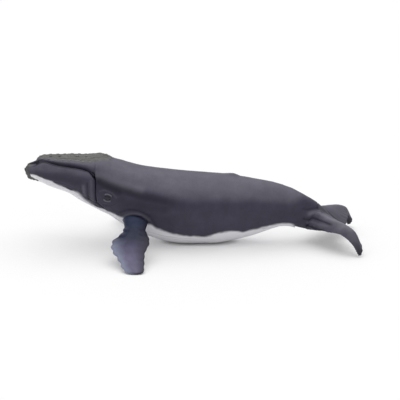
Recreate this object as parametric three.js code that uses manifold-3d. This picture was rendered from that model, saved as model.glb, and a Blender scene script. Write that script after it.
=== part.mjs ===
// Humpback whale figurine in moulded vinyl, resting on its belly and on the tips of its flippers.
// Millimetres, +Z up, the head toward -X. The origin is under the middle of the whale, on the ground.
import * as THREE from "three";
import { mergeVertices } from "three/addons/utils/BufferGeometryUtils.js";
import Module from "manifold-3d";

const wasm = await Module();
wasm.setup();

// Body guide lines, each a list of [station along X, value], which the body is lofted through
const backHeight = [
  [-155, 70.5], [-152, 76], [-142, 82], [-98, 82.4], [-87, 84], [-76, 82], [-66, 78.6], [-48, 73.6],
  [-29, 70.6], [-10, 68.5], [18, 66.4], [36, 64.6], [55, 61.6], [74, 58.2], [92, 52.6], [111, 42.5],
  [121, 35.5], [131, 25.5], [140, 15.5],
];
const widestHeight = [
  [-155, 69.5], [-146, 71], [-132, 72.5], [-113, 72], [-98, 66], [-84, 57], [-66, 48], [-48, 41.5],
  [-29, 37], [-10, 34.5], [18, 33.5], [83, 35], [102, 31], [121, 23], [140, 13.5],
];
const bellyHeight = [
  [-155, 67.5], [-153, 63.5], [-150, 61.2], [-141, 59], [-132, 54.8], [-114, 48.2], [-104, 41.4],
  [-84, 31], [-76, 27], [-66, 19.7], [-48, 10], [-29, 3.3], [-14, 0.1], [4, -0.5], [22, -0.2],
  [36, 2], [55, 6.3], [83, 15.4], [93, 16], [104, 13.4], [121, 10.4], [140, 11.5],
];
const halfWidth = [
  [-155, 2], [-153, 5], [-150, 8.5], [-146, 12], [-140, 15.4], [-132, 18.8], [-114, 23.4], [-104, 24.8],
  [-84, 27], [-66, 29], [-48, 30.5], [-29, 31.5], [-10, 31], [8, 29.5], [27, 28], [45, 24], [64, 19],
  [83, 14], [102, 9.5], [121, 7], [131, 5], [140, 2],
];

// Upper jaw guide lines, read the same way
const rostrumHeight = [
  [-145.5, 79.4], [-144, 81.4], [-141, 82.6], [-132, 82.8], [-113, 83], [-99, 82.4], [-87, 83.9],
  [-78, 81.4],
];
const rostrumHalfWidth = [
  [-145.5, 1.5], [-143, 5.4], [-135, 11], [-125, 14.6], [-113, 17.4], [-100, 20.8], [-93, 22.4],
  [-86, 21.6], [-78, 16],
];

// Body section: a squarer back on the head, rounder behind, and a full belly
const headSquareness = 2.8;
const trunkSquareness = 2.15;
const bellySquareness = 2.1;
const headEnd = -40;
const upperSteps = 8;
const plainLowerSteps = 9;

// Body stations, closer together where the jaw tip rounds off
const jawTipX = -155;
const tipRounding = [0, 1.4, 3.6, 7];
const tailSeamX = 118;
const tailCoreEndX = 138;
const stationStep = 6.8;

// Throat pleats, two points each across the section
const pleatsPerSide = 10;
const pleatDepth = 0.9;
const pleatStartX = -147;
const pleatEndX = 6;
const pleatFade = 16;
const pleatTopAngle = 0.12;
const pleatFullAngle = 0.3;

// Joint between the back and the belly: mouth, cheek and flank line seen from the side
const mouthPoints = [
  [-170, 74], [-154, 76], [-146, 77.4], [-134, 78.1], [-120, 77.5], [-104, 76], [-93.5, 73.4],
];
const cheekX = -88;
const cheekTop = 66;
const cheekBottom = 47;
const cheekOverlap = 1.5;
const flankPoints = [
  [-79.5, 39], [-62, 22.5], [-50, 18.5], [-28, 18], [-14, 14.5], [10, 12.5], [35, 15], [66, 17],
  [84, 18.5], [96, 16], [106, 6],
];
const mouthSteps = 18;
const flankSteps = 30;
const seamGap = 0.3;

// Raised land on the belly that locates it in a recess of the back
const landHeight = 2.5;
const landInset = 4.5;
const landStartX = -81;
const landEndX = 88;

// Tray in the lower jaw that the upper jaw closes into
const trayDepth = 1.6;
const trayGap = 0.7;
const rostrumSpring = 1.2;
const rostrumSkirt = 6.8;
const rostrumSteps = 7;
const rostrumTipX = -145.5;
const rostrumEndX = -78;
const rostrumPlanStep = 4;

// Flipper, with t running from 0 at the flank to 1 at the tip
const flipperRootY = 26;
const flipperRootZ = 28;
const flipperSpan = 72;
const flipperDrop = 27.4;
const flipperDroop = 1.25;
const flipperBuried = 0.12;
const flipperLeading = [
  [-0.12, -64], [0.22, -61.4], [0.33, -64.2], [0.43, -70], [0.55, -71.2], [0.65, -69], [0.75, -64.8],
  [0.9, -60.2], [1, -56.5],
];
const flipperTrailing = [
  [-0.12, -40], [0.22, -41.6], [0.39, -38.2], [0.5, -38], [0.65, -41.2], [0.9, -41.4], [1, -42],
];
const flipperThickness = [[-0.12, 12], [0.1, 8], [0.45, 5.4], [1, 2.6]];
const flipperTipStart = 0.95;
const flipperTipShare = 0.4;
const flipperSectionSteps = 13;
const knobSpacing = 0.11;
const knobHeight = 1.6;
const stationsPerKnob = 3;
const knobsStart = 0.12;
const knobsFull = 0.25;
const knobsFade = 0.9;
const knobsEnd = 0.98;
const frontFullness = 0.3;

// Oval plug of each flipper and its socket in the flank
const flipperPlugX = -52;
const flipperPlugWidth = 12;
const flipperPlugHeight = 7;
const flipperPlugDepth = 9;
const flipperPlugOverlap = 5;
const plugClearance = 0.3;
const plugSegments = 20;

// Flukes, each guide a list of [distance out from the middle, value]
const flukeLeadingX = [
  [0, 106], [8, 108.4], [12, 111.8], [16, 114.4], [20, 117], [30, 125], [40, 136], [46, 146.5], [49, 152],
];
const flukeLeadingZ = [[0, 13.4], [10, 14.4], [20, 16.6], [30, 18.2], [40, 18.9], [46, 12], [49, 2]];
const flukeTrailingX = [
  [0, 139.6], [3, 142.6], [7, 145.6], [11, 147.2], [20, 149.4], [30, 151], [40, 154], [46, 155.15], [49, 154],
];
const flukeTrailingZ = [[0, 13.5], [10, 15.5], [20, 18], [30, 17.5], [40, 10.5], [46, 5], [49, 1.5]];
const flukeCrestZ = [
  [0, 26], [8, 27], [14, 27.2], [20, 26.6], [27, 25.8], [32, 24.8], [37, 22.6], [41, 19.6], [46, 11], [49, 2.5],
];
// How far back across the chord the crest lies
const flukeCrestShare = [[0, 0.24], [15, 0.24], [22, 0.28], [29, 0.44], [36, 0.6], [42, 0.66], [49, 0.6]];
const flukeThickness = [[0, 11], [8, 9], [16, 6.6], [25, 4.8], [40, 3.4], [49, 1.8]];
const flukeHalfSpan = 49;
const flukeSectionSteps = 12;
const flukeStep = 2;
const scallopPitch = 6;
const scallopDepth = 1.1;
const scallopsStart = 9;
const scallopsFull = 15;
const scallopsFade = 40;
const scallopsEnd = 47;

// Plug of the flukes in the end of the tail stock
const flukePlugWidth = 6;
const flukePlugHeight = 13;
const flukePlugDepth = 10;
const flukePlugOverlap = 3;
const flukePlugZ = 23.5;

// Low dorsal fin
const finStartX = 20;
const finPeakX = 40;
const finEndX = 49;
const finHeight = 2.2;
const finThickness = 7;
const finFoot = 4;
const finRidgeShare = 0.35;
const finRidgeDrop = 0.7;
const finStep = 2.9;

// Tubercles on the upper jaw, the lower lip and the chin
const tubercleRadius = 1.7;
const tubercleProud = 0.9;
const domeSides = 7;
const domeRings = 5;
const medianTubercles = 6;
const medianStartX = -139;
const medianPitch = 8.2;
const sideTubercles = 8;
const sideStartX = -138;
const sidePitch = 6.4;
const sideAcross = 0.72;
const lipTubercles = 7;
const lipStartX = -146;
const lipPitch = 7;
const lipBelowWidest = 2;

// Eye bulge
const eyeX = -77;
const eyeZ = 50;
const eyeLength = 8.5;
const eyeHeight = 5.6;
const eyeProud = 1.1;
const eyeSides = 12;
const eyeRings = 8;

const ground = 0;
const far = 400;

// Reads a guide line at any station, smoothly between its points and level beyond its ends
function valueAt(line, x) {
  const last = line.length - 1;
  if (x <= line[0][0]) return line[0][1];
  if (x >= line[last][0]) return line[last][1];
  let i = 0;
  while (line[i + 1][0] < x) i += 1;
  const [x0, y0] = line[i];
  const [x1, y1] = line[i + 1];
  const step = x1 - x0;
  const u = (x - x0) / step;
  const slope = (a, b) => (line[b][1] - line[a][1]) / (line[b][0] - line[a][0]);
  const m0 = slope(Math.max(i - 1, 0), i + 1) * step;
  const m1 = slope(i, Math.min(i + 2, last)) * step;
  const u2 = u * u;
  const u3 = u2 * u;
  return (2 * u3 - 3 * u2 + 1) * y0 + (u3 - 2 * u2 + u) * m0 + (3 * u2 - 2 * u3) * y1 + (u3 - u2) * m1;
}

// Eases from 0 to 1 between two stations
function ease(from, to, x) {
  return THREE.MathUtils.smoothstep(x, from, to);
}

// Joins rings of equally many points into a closed surface with a fan at each end
function loft(rings) {
  const count = rings[0].length;
  const positions = rings.flat().flatMap((p) => [p.x, p.y, p.z]);
  const index = [];
  for (let r = 0; r + 1 < rings.length; r += 1) {
    for (let i = 0; i < count; i += 1) {
      const a = r * count + i;
      const b = r * count + ((i + 1) % count);
      index.push(a, b, b + count, a, b + count, a + count);
    }
  }
  const capCentre = (ring) => {
    const centre = new THREE.Vector3();
    ring.forEach((p) => centre.add(p));
    centre.divideScalar(count);
    positions.push(centre.x, centre.y, centre.z);
    return positions.length / 3 - 1;
  };
  const first = capCentre(rings[0]);
  const final = capCentre(rings[rings.length - 1]);
  const lastRing = (rings.length - 1) * count;
  for (let i = 0; i < count; i += 1) {
    const next = (i + 1) % count;
    index.push(first, next, i);
    index.push(final, lastRing + i, lastRing + next);
  }
  const geometry = new THREE.BufferGeometry();
  geometry.setAttribute("position", new THREE.Float32BufferAttribute(positions, 3));
  geometry.setIndex(index);
  return geometry;
}

// Turns a closed geometry into a solid that can be joined and cut
function solid(geometry) {
  const bare = geometry.clone();
  bare.deleteAttribute("normal");
  bare.deleteAttribute("uv");
  const merged = mergeVertices(bare, 1e-4);
  const mesh = new wasm.Mesh({
    numProp: 3,
    vertProperties: new Float32Array(merged.attributes.position.array),
    triVerts: new Uint32Array(merged.index.array),
  });
  return new wasm.Manifold(mesh);
}

// Reverses the winding of a geometry that was built turning the other way
function flipped(geometry) {
  const index = geometry.index.array;
  for (let i = 0; i < index.length; i += 3) {
    [index[i], index[i + 1]] = [index[i + 1], index[i]];
  }
  return geometry;
}

// Stations from one end to the other, no further apart than the step
function stations(start, end, step) {
  const parts = Math.max(1, Math.ceil((end - start) / step));
  return Array.from({ length: parts + 1 }, (_, i) => start + ((end - start) * i) / parts);
}

// One quarter of a body section, from the top or the bottom to the widest point
function superellipse(angle, squareness) {
  const power = 2 / squareness;
  return [Math.cos(angle) ** power, Math.sin(angle) ** power];
}

// How deep the pleats are at a station and an angle below the widest point
function pleatAt(x, angle) {
  const behindChin = ease(pleatStartX, pleatStartX + pleatFade, x);
  const beforeBelly = 1 - ease(pleatEndX - pleatFade, pleatEndX, x);
  return pleatDepth * behindChin * beforeBelly * ease(pleatTopAngle, pleatFullAngle, angle);
}

// Body section at a station, grown outward by a distance, with or without the throat pleats
function bodyRing(x, grow, pleated) {
  const top = valueAt(backHeight, x) + grow;
  const middle = valueAt(widestHeight, x);
  const bottom = valueAt(bellyHeight, x) - grow;
  const half = valueAt(halfWidth, x) + grow;
  const squareness = THREE.MathUtils.lerp(headSquareness, trunkSquareness, ease(cheekX, headEnd, x));
  const side = [];
  for (let i = 0; i < upperSteps; i += 1) {
    const angle = (Math.PI / 2) * (1 - i / upperSteps);
    const [across, up] = superellipse(angle, squareness);
    side.push([half * across, middle + (top - middle) * up]);
  }
  const lowerSteps = pleated ? 2 * pleatsPerSide + 1 : plainLowerSteps;
  for (let i = 0; i <= lowerSteps; i += 1) {
    const angle = ((Math.PI / 2) * i) / lowerSteps;
    const [across, down] = superellipse(angle, bellySquareness);
    const inGroove = pleated && i % 2 === 1 && i < lowerSteps;
    const inward = inGroove ? pleatAt(x, angle) : 0;
    const y = half * across - inward * Math.cos(angle);
    const z = middle - (middle - bottom) * down + inward * Math.sin(angle);
    side.push([y, z]);
  }
  return mirroredRing(x, side, side.slice(1, -1));
}

// A ring at a station from the points of its right side and those of them that its left side repeats
function mirroredRing(x, side, repeated) {
  const right = side.map(([y, z]) => new THREE.Vector3(x, y, z));
  const left = repeated.map(([y, z]) => new THREE.Vector3(x, -y, z)).reverse();
  return [...right, ...left];
}

// Body loft between two stations
function body(startX, endX, grow = 0, pleated = false) {
  const tip = tipRounding.map((offset) => jawTipX + offset).filter((x) => x > startX);
  const restStart = tip.length ? tip.pop() : startX;
  const front = tip.length ? [startX, ...tip] : [];
  const xs = [...front, ...stations(restStart, endX, stationStep)];
  return solid(flipped(loft(xs.map((x) => bodyRing(x, grow, pleated)))));
}

// Upper jaw section: upright sides in the jaw tray and a flattened crown
function rostrumRing(x) {
  const half = valueAt(rostrumHalfWidth, x);
  const top = valueAt(rostrumHeight, x);
  const spring = valueAt(mouthPoints, x) + rostrumSpring;
  const side = [];
  for (let i = 0; i <= rostrumSteps; i += 1) {
    const angle = (Math.PI / 2) * (1 - i / rostrumSteps);
    const [across, up] = superellipse(angle, headSquareness);
    side.push([half * across, spring + (top - spring) * up]);
  }
  side.push([half, spring - rostrumSkirt]);
  return mirroredRing(x, side, side.slice(1));
}

function rostrum() {
  const tip = tipRounding.map((offset) => rostrumTipX + offset);
  const xs = [...tip.slice(0, -1), ...stations(tip.pop(), rostrumEndX, stationStep)];
  return solid(flipped(loft(xs.map(rostrumRing))));
}

// Pairs of numbers as points of a flat drawing
function flatPoints(pairs) {
  return pairs.map(([across, up]) => new THREE.Vector2(across, up));
}

// The joint line seen from the side, moved along its own normal by a distance
function jointLine(offset) {
  const mouth = new THREE.SplineCurve(flatPoints([...mouthPoints, [cheekX, cheekTop]]));
  const flank = new THREE.SplineCurve(flatPoints([[cheekX, cheekBottom], ...flankPoints]));
  const points = [...mouth.getPoints(mouthSteps), ...flank.getPoints(flankSteps)];
  return points.map((point, i) => {
    const before = points[Math.max(i - 1, 0)];
    const after = points[Math.min(i + 1, points.length - 1)];
    const along = after.clone().sub(before).normalize();
    return new THREE.Vector2(point.x - along.y * offset, point.y + along.x * offset);
  });
}

// A shape drawn in X and Z, carried right across the whale
function acrossWhale(points) {
  const geometry = new THREE.ExtrudeGeometry(new THREE.Shape(points), { depth: far, bevelEnabled: false });
  geometry.rotateX(Math.PI / 2);
  geometry.translate(0, far / 2, 0);
  return solid(geometry);
}

// Everything under the joint line, or over it
function belowJoint(offset) {
  const line = jointLine(offset);
  const exit = line[line.length - 1];
  return acrossWhale([...line, new THREE.Vector2(exit.x, -far), new THREE.Vector2(line[0].x, -far)]);
}

function aboveJoint(offset) {
  const line = jointLine(offset);
  const exit = line[line.length - 1];
  const rest = flatPoints([[exit.x, -far], [far, -far], [far, far], [line[0].x, far]]);
  return acrossWhale([...line, ...rest]);
}

// Everything above the ground
function aboveGround() {
  return acrossWhale(flatPoints([[-far, ground], [far, ground], [far, far], [-far, far]]));
}

// Plan of the upper jaw with some room round it, carried right through in Z
function rostrumPlan(room) {
  const xs = stations(rostrumTipX, rostrumEndX, rostrumPlanStep);
  const right = xs.map((x) => [x, valueAt(rostrumHalfWidth, x) + room]);
  const left = right.map(([x, y]) => [x, -y]);
  const outline = flatPoints([[rostrumTipX - room, 0], ...left, ...right.reverse()]);
  return solid(new THREE.ExtrudeGeometry(new THREE.Shape(outline), { depth: far, bevelEnabled: false }));
}

// A drawn outline carried along its own normal as a bar
function ovalBar(shape, depth) {
  return new THREE.ExtrudeGeometry(shape, { depth, bevelEnabled: false, curveSegments: plugSegments });
}

// An oval bar along Y at a flipper root, reaching inward from the buried end of the flipper
function flipperPlug(side, room) {
  const shape = new THREE.Shape();
  const acrossX = flipperPlugWidth / 2 + room;
  const acrossZ = flipperPlugHeight / 2 + room;
  shape.absellipse(flipperPlugX, flipperRootZ, acrossX, acrossZ, 0, Math.PI * 2);
  const outer = flipperRootY + flipperPlugOverlap;
  const inner = flipperRootY - flipperPlugDepth - room;
  const geometry = ovalBar(shape, outer - inner);
  geometry.rotateX(Math.PI / 2);
  geometry.translate(0, side > 0 ? outer : -inner, 0);
  return solid(geometry);
}

// Middle of the flipper section at t, and the direction square to the span there
function flipperPath(t, side) {
  const reach = Math.max(t, 0);
  const out = flipperRootY + flipperSpan * t;
  const z = flipperRootZ - flipperDrop * reach ** flipperDroop;
  const slope = (-flipperDrop * flipperDroop * reach ** (flipperDroop - 1)) / flipperSpan;
  const normal = new THREE.Vector3(0, -slope * side, 1).normalize();
  return { out: out * side, z, normal };
}

// Flipper section: a rounded leading edge with knobs, a thin trailing edge and a rounded tip
function flipperRing(t, side) {
  const { out, z, normal } = flipperPath(t, side);
  const knobs = ease(knobsStart, knobsFull, t) * (1 - ease(knobsFade, knobsEnd, t)) * knobHeight;
  const knob = knobs * (0.5 + 0.5 * Math.cos((2 * Math.PI * t) / knobSpacing)) ** 2;
  const pastTip = Math.max(0, t - flipperTipStart) / (1 - flipperTipStart);
  const tip = Math.max(flipperTipShare, Math.sqrt(Math.max(0, 1 - pastTip ** 4)));
  const front = valueAt(flipperLeading, t) - knob;
  const rear = valueAt(flipperTrailing, t);
  const middle = (front + rear) / 2;
  const half = ((rear - front) / 2) * tip;
  const thick = (valueAt(flipperThickness, t) / 2) * Math.sqrt(tip);
  return Array.from({ length: flipperSectionSteps }, (_, i) => {
    const angle = (2 * Math.PI * i) / flipperSectionSteps;
    const chord = middle - half * Math.cos(angle);
    const height = thick * Math.sin(angle) * (1 + frontFullness * Math.cos(angle));
    return new THREE.Vector3(chord, out + normal.y * height, z + normal.z * height);
  });
}

function flipper(side) {
  const start = -flipperBuried;
  const ts = stations(start, 1, knobSpacing / stationsPerKnob);
  const geometry = loft(ts.map((t) => flipperRing(t, side)));
  const blade = solid(side > 0 ? geometry : flipped(geometry));
  const trimmed = blade.subtract(body(jawTipX, tailSeamX, seamGap)).intersect(aboveGround());
  return trimmed.add(flipperPlug(side, 0));
}

// Height of the fluke's arch across the chord: steep up to the crest, then eased down to the trailing edge
function flukeArch(share, crest) {
  if (share < crest) {
    return Math.sin(((share / crest) * Math.PI) / 2);
  }
  return 0.5 + 0.5 * Math.cos(((share - crest) / (1 - crest)) * Math.PI);
}

// Fluke section at a distance from the middle: arched over the crest, with a scalloped trailing edge
function flukeRing(y) {
  const out = Math.abs(y);
  const scallops = ease(scallopsStart, scallopsFull, out) * (1 - ease(scallopsFade, scallopsEnd, out));
  const bite = scallopDepth * scallops * (0.5 - 0.5 * Math.cos((2 * Math.PI * out) / scallopPitch));
  const leading = new THREE.Vector2(valueAt(flukeLeadingX, out), valueAt(flukeLeadingZ, out));
  const trailing = new THREE.Vector2(valueAt(flukeTrailingX, out) - bite, valueAt(flukeTrailingZ, out));
  const crest = valueAt(flukeCrestShare, out);
  const rise = valueAt(flukeCrestZ, out) - leading.clone().lerp(trailing, crest).y;
  const thick = valueAt(flukeThickness, out) / 2;
  return Array.from({ length: flukeSectionSteps }, (_, i) => {
    const angle = (2 * Math.PI * i) / flukeSectionSteps;
    const c = 0.5 - 0.5 * Math.cos(angle);
    const spine = leading.clone().lerp(trailing, c);
    const height = thick * Math.sin(angle) * (1 + frontFullness * Math.cos(angle));
    return new THREE.Vector3(spine.x, y, spine.y + flukeArch(c, crest) * rise + height);
  });
}

// Plug of the flukes, an upright oval bar along X
function flukePlug(room) {
  const shape = new THREE.Shape();
  shape.absellipse(0, flukePlugZ, flukePlugWidth / 2 + room, flukePlugHeight / 2 + room, 0, Math.PI * 2);
  const inner = tailSeamX - flukePlugDepth - room;
  const outer = tailSeamX + flukePlugOverlap;
  const geometry = ovalBar(shape, outer - inner);
  geometry.rotateX(Math.PI / 2);
  geometry.rotateZ(Math.PI / 2);
  geometry.translate(inner, 0, 0);
  return solid(geometry);
}

function flukes() {
  const ys = stations(-flukeHalfSpan, flukeHalfSpan, flukeStep);
  const lobes = solid(loft(ys.map(flukeRing)));
  const core = body(tailSeamX + seamGap, tailCoreEndX);
  const room = body(jawTipX, tailSeamX + seamGap, seamGap);
  return lobes.subtract(room).add(core).add(flukePlug(0)).intersect(aboveGround());
}

// A low dome set into a surface point, standing proud of it
function dome(x, y, z) {
  const geometry = new THREE.SphereGeometry(tubercleRadius, domeSides, domeRings);
  geometry.rotateX(Math.PI / 2);
  geometry.translate(x, y, z);
  return solid(geometry);
}

// Rows of tubercles on the upper jaw: one down the middle and one along each side
function rostrumTubercles() {
  const sink = tubercleRadius - tubercleProud;
  const domes = [];
  for (let i = 0; i < medianTubercles; i += 1) {
    const x = medianStartX + i * medianPitch;
    domes.push(dome(x, 0, valueAt(rostrumHeight, x) - sink));
  }
  for (let i = 0; i < sideTubercles; i += 1) {
    const x = sideStartX + i * sidePitch;
    const across = valueAt(rostrumHalfWidth, x) * sideAcross;
    const spring = valueAt(mouthPoints, x) + rostrumSpring;
    const rise = (1 - sideAcross ** headSquareness) ** (1 / headSquareness);
    const z = spring + (valueAt(rostrumHeight, x) - spring) * rise - sink;
    domes.push(dome(x, across, z), dome(x, -across, z));
  }
  return domes;
}

// Tubercles along the lower lip
function lipTubercleRow() {
  const domes = [];
  for (let i = 0; i < lipTubercles; i += 1) {
    const x = lipStartX + i * lipPitch;
    const across = valueAt(halfWidth, x) - (tubercleRadius - tubercleProud);
    const z = valueAt(widestHeight, x) - lipBelowWidest;
    domes.push(dome(x, across, z), dome(x, -across, z));
  }
  return domes;
}

// Eye bulges on both sides of the head
function eyes() {
  const surface = valueAt(halfWidth, eyeX);
  return [1, -1].map((side) => {
    const geometry = new THREE.SphereGeometry(1, eyeSides, eyeRings);
    geometry.scale(eyeLength / 2, eyeHeight / 2, eyeHeight / 2);
    geometry.translate(eyeX, side * (surface + eyeProud - eyeHeight / 2), eyeZ);
    return solid(geometry);
  });
}

// Low hooked dorsal fin, lofted upright along its base
function dorsalFin() {
  const ringAt = (x) => {
    const before = ease(finStartX, finPeakX, x);
    const after = 1 - ease(finPeakX, finEndX, x);
    const rise = finHeight * before * after;
    const skin = valueAt(backHeight, x);
    const half = finThickness / 2;
    const shoulder = [half * finRidgeShare, skin + rise - finRidgeDrop];
    const outline = [[0, skin + rise], shoulder, [half, skin - finFoot / 2], [half, skin - finFoot]];
    return mirroredRing(x, outline, outline.slice(1));
  };
  return solid(flipped(loft(stations(finStartX, finEndX, finStep).map(ringAt))));
}

function backBody() {
  const trunk = body(cheekX - cheekOverlap, tailSeamX).intersect(aboveJoint(seamGap));
  const head = rostrum().intersect(aboveJoint(seamGap - trayDepth));
  let back = trunk.add(head).add(dorsalFin());
  rostrumTubercles().concat(eyes()).forEach((bump) => {
    back = back.add(bump);
  });
  const recess = body(landStartX - seamGap, landEndX + seamGap, seamGap - landInset);
  back = back.subtract(recess.intersect(belowJoint(landHeight + seamGap)));
  [1, -1].forEach((side) => {
    back = back.subtract(flipperPlug(side, plugClearance));
  });
  return back.subtract(flukePlug(plugClearance));
}

function bellyBody() {
  let belly = body(jawTipX, tailSeamX, 0, true).intersect(belowJoint(0));
  lipTubercleRow().forEach((bump) => {
    belly = belly.add(bump.intersect(belowJoint(0)));
  });
  const tray = rostrumPlan(trayGap).intersect(aboveJoint(-trayDepth));
  const land = body(landStartX, landEndX, -landInset).intersect(belowJoint(landHeight));
  return belly.subtract(tray).add(land).intersect(aboveGround());
}

// Materials: painted matt vinyl, dark above and white below
const darkVinyl = new THREE.MeshStandardMaterial({ color: 0x4b4955, roughness: 0.62, metalness: 0 });
const paleVinyl = new THREE.MeshStandardMaterial({ color: 0xe6e4e2, roughness: 0.6, metalness: 0 });
const flipperVinyl = new THREE.MeshStandardMaterial({ color: 0x5f6078, roughness: 0.6, metalness: 0 });
const flukeVinyl = new THREE.MeshStandardMaterial({ color: 0x565460, roughness: 0.62, metalness: 0 });

// A solid as a named mesh in its own material
function named(name, shape, material) {
  const { vertProperties, triVerts } = shape.getMesh();
  const geometry = new THREE.BufferGeometry();
  geometry.setAttribute("position", new THREE.Float32BufferAttribute(vertProperties, 3));
  geometry.setIndex(new THREE.BufferAttribute(triVerts, 1));
  geometry.computeVertexNormals();
  const mesh = new THREE.Mesh(geometry, material);
  mesh.name = name;
  return mesh;
}

const whale = new THREE.Group();
whale.add(named("back_body", backBody(), darkVinyl));
whale.add(named("belly_body", bellyBody(), paleVinyl));
whale.add(named("left_flipper", flipper(-1), flipperVinyl));
whale.add(named("right_flipper", flipper(1), flipperVinyl));
whale.add(named("tail_flukes", flukes(), flukeVinyl));

export default whale;
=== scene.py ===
# Humpback whale figurine in painted vinyl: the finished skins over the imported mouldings.
# Guide lines and sizes are in millimetres, +Z up, the head toward -X and the left side toward -Y.
import math
import random

import bmesh
import bpy
import numpy as np
from mathutils import Matrix, Vector, noise
from mathutils.bvhtree import BVHTree


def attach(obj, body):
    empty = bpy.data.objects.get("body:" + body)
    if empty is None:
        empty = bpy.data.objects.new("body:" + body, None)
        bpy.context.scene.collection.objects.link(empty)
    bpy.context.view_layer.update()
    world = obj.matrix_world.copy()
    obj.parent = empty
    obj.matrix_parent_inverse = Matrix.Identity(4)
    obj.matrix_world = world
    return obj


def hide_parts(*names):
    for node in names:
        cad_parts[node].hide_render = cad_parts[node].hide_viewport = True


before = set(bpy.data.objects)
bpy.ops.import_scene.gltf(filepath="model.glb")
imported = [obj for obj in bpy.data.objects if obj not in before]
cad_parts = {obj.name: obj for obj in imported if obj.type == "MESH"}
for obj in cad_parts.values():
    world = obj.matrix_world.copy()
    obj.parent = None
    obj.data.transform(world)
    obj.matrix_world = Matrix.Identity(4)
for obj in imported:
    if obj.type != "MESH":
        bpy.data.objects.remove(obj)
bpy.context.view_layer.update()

MM = 0.001
SEED = 11

# Body guide lines, each a list of (station along X, value)
BACK_HEIGHT = [
    (-155, 70.5), (-152, 76), (-142, 82), (-98, 82.4), (-87, 84), (-80, 83), (-77, 81.8), (-74, 80),
    (-71, 79), (-66, 77.9), (-60, 76.2), (-48, 73.4), (-29, 70.6), (-10, 68.5), (18, 66.4), (36, 64.6),
    (55, 61.6), (74, 58.2), (92, 52.6), (111, 42.5), (121, 35.5), (131, 25.5), (140, 15.5)]
WIDEST_HEIGHT = [
    (-155, 69.5), (-146, 71), (-132, 72.5), (-113, 72), (-98, 66), (-84, 57), (-66, 48), (-48, 41.5),
    (-29, 37), (-10, 34.5), (18, 33.5), (83, 35), (102, 31), (121, 23), (140, 13.5)]
BELLY_HEIGHT = [
    (-155, 67.5), (-153, 63.5), (-150, 61.2), (-141, 59), (-132, 54.8), (-114, 48.2), (-104, 41.4),
    (-84, 31), (-76, 27), (-66, 19.7), (-48, 10), (-29, 3.3), (-14, 0.1), (4, -0.5), (22, -0.2),
    (36, 2), (55, 6.3), (83, 15.4), (93, 16), (104, 13.4), (121, 10.4), (140, 11.5)]
HALF_WIDTH = [
    (-155, 2), (-153, 5), (-150, 8.5), (-146, 12), (-140, 15.4), (-132, 18.8), (-114, 23.4),
    (-104, 24.8), (-84, 27), (-66, 29), (-48, 30.5), (-29, 31.5), (-10, 31), (8, 29.5), (27, 28),
    (45, 24), (64, 19), (83, 14), (102, 9.5), (121, 7), (131, 5), (140, 2)]
HEAD_SQUARENESS = 2.8
TRUNK_SQUARENESS = 2.15
BELLY_SQUARENESS = 2.1
SQUARE_END = -40

# Upper jaw, mouth line and the joint between the two mouldings, seen from the side
ROSTRUM_HEIGHT = [
    (-144.6, 79.4), (-143.2, 81.6), (-140.6, 82.8), (-132, 82.8), (-113, 83), (-99, 82.4), (-87, 83.9),
    (-78, 81.4)]
ROSTRUM_HALF_WIDTH = [
    (-144.6, 1.5), (-142.4, 5.4), (-135, 11), (-125, 14.6), (-113, 17.4), (-100, 20.8), (-93, 22.4),
    (-86, 21.6), (-78, 16)]
MOUTH_LINE = [
    (-170, 73), (-154, 75), (-148.5, 75.6), (-145.5, 76.6), (-143, 77.8), (-140, 79.6), (-137, 80.6),
    (-133, 80.6), (-129, 79.8), (-124, 78.9), (-117, 78.1), (-110, 77.4), (-104, 76.5), (-98, 75.2),
    (-93.5, 73.2), (-88, 66)]
FLANK_LINE = [
    (-88, 47), (-79.5, 39), (-62, 22.5), (-50, 18.5), (-28, 18), (-14, 14.5), (10, 12.5), (35, 15),
    (66, 17), (84, 18.5), (96, 16), (106, 6)]
CHEEK_X = -88
CHEEK_GAP = 0.3

# Where the painted light on the back turns into the painted shade on the flank, and the same on the lower jaw
PAINTED_SHADE_LINE = [
    (-98, 78.6), (-90, 76.4), (-84, 72.8), (-72, 67.2), (-60, 62.6), (-54, 60.6), (-47, 59), (-40, 57),
    (-32, 54.8), (-25, 52.8), (-18, 51.4), (-8, 49.2), (4, 48.2), (18, 48.6), (36, 47.4), (54, 46.2),
    (72, 44.2), (90, 42.4), (98, 42), (106, 45.4), (118, 46)]
JAW_PAINTED_SHADE_LINE = [(-156, 71), (-146, 72.6), (-136, 73.2), (-120, 73), (-104, 71.5), (-92, 69)]
PAINTED_SHADE_SOFTNESS = [(-100, 3.4), (-60, 3.2), (-30, 3.4), (-6, 4.8), (80, 4.4)]

# Upper edge of the sprayed white, seen from the side
WHITE_LINE = [
    (-156, 69), (-148.6, 67.4), (-140, 66), (-133, 64.1), (-129, 62.9), (-125.6, 61.1), (-117, 57.3),
    (-107, 54), (-102.5, 50.7), (-99.3, 46.9), (-95, 43.3), (-88, 39), (-78, 35.6), (-72, 34),
    (-66, 31.4), (-48, 28), (-41, 26), (-31, 20.4), (-24, 17.8), (-14, 14.6), (9, 11.2), (16, 11.6),
    (25, 15.6), (35.5, 17.2), (46, 14.6), (55, 15.8), (66, 17.4), (76, 19.4), (84, 20.4), (93, 18.9),
    (100, 13.6), (106, 8)]

# How finely the skins are divided: (station, step from there on)
ROSTRUM_STOPS = [(-144.6, 0.25), (-142, 0.5), (-89, 0.3), (-88.3, 0)]
TRUNK_STOPS = [(-88, 0.3), (-86, 0.5), (-66, 0.8), (-30, 1.0), (92, 0.8), (117.9, 0)]
JAW_STOPS = [(-155, 0.25), (-150, 0.5), (-91, 0.3), (-88.3, 0)]
BELLY_STOPS = [(-88, 0.3), (-86, 0.6), (-66, 1.0), (80, 0.6), (97.6, 0)]
CROWN_ROWS = 60
FLANK_ROWS = 54
JAW_ROWS = 46
THROAT_ROWS = 84
SECTION_SAMPLES = 801
CURVE_STEPS = 6


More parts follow.
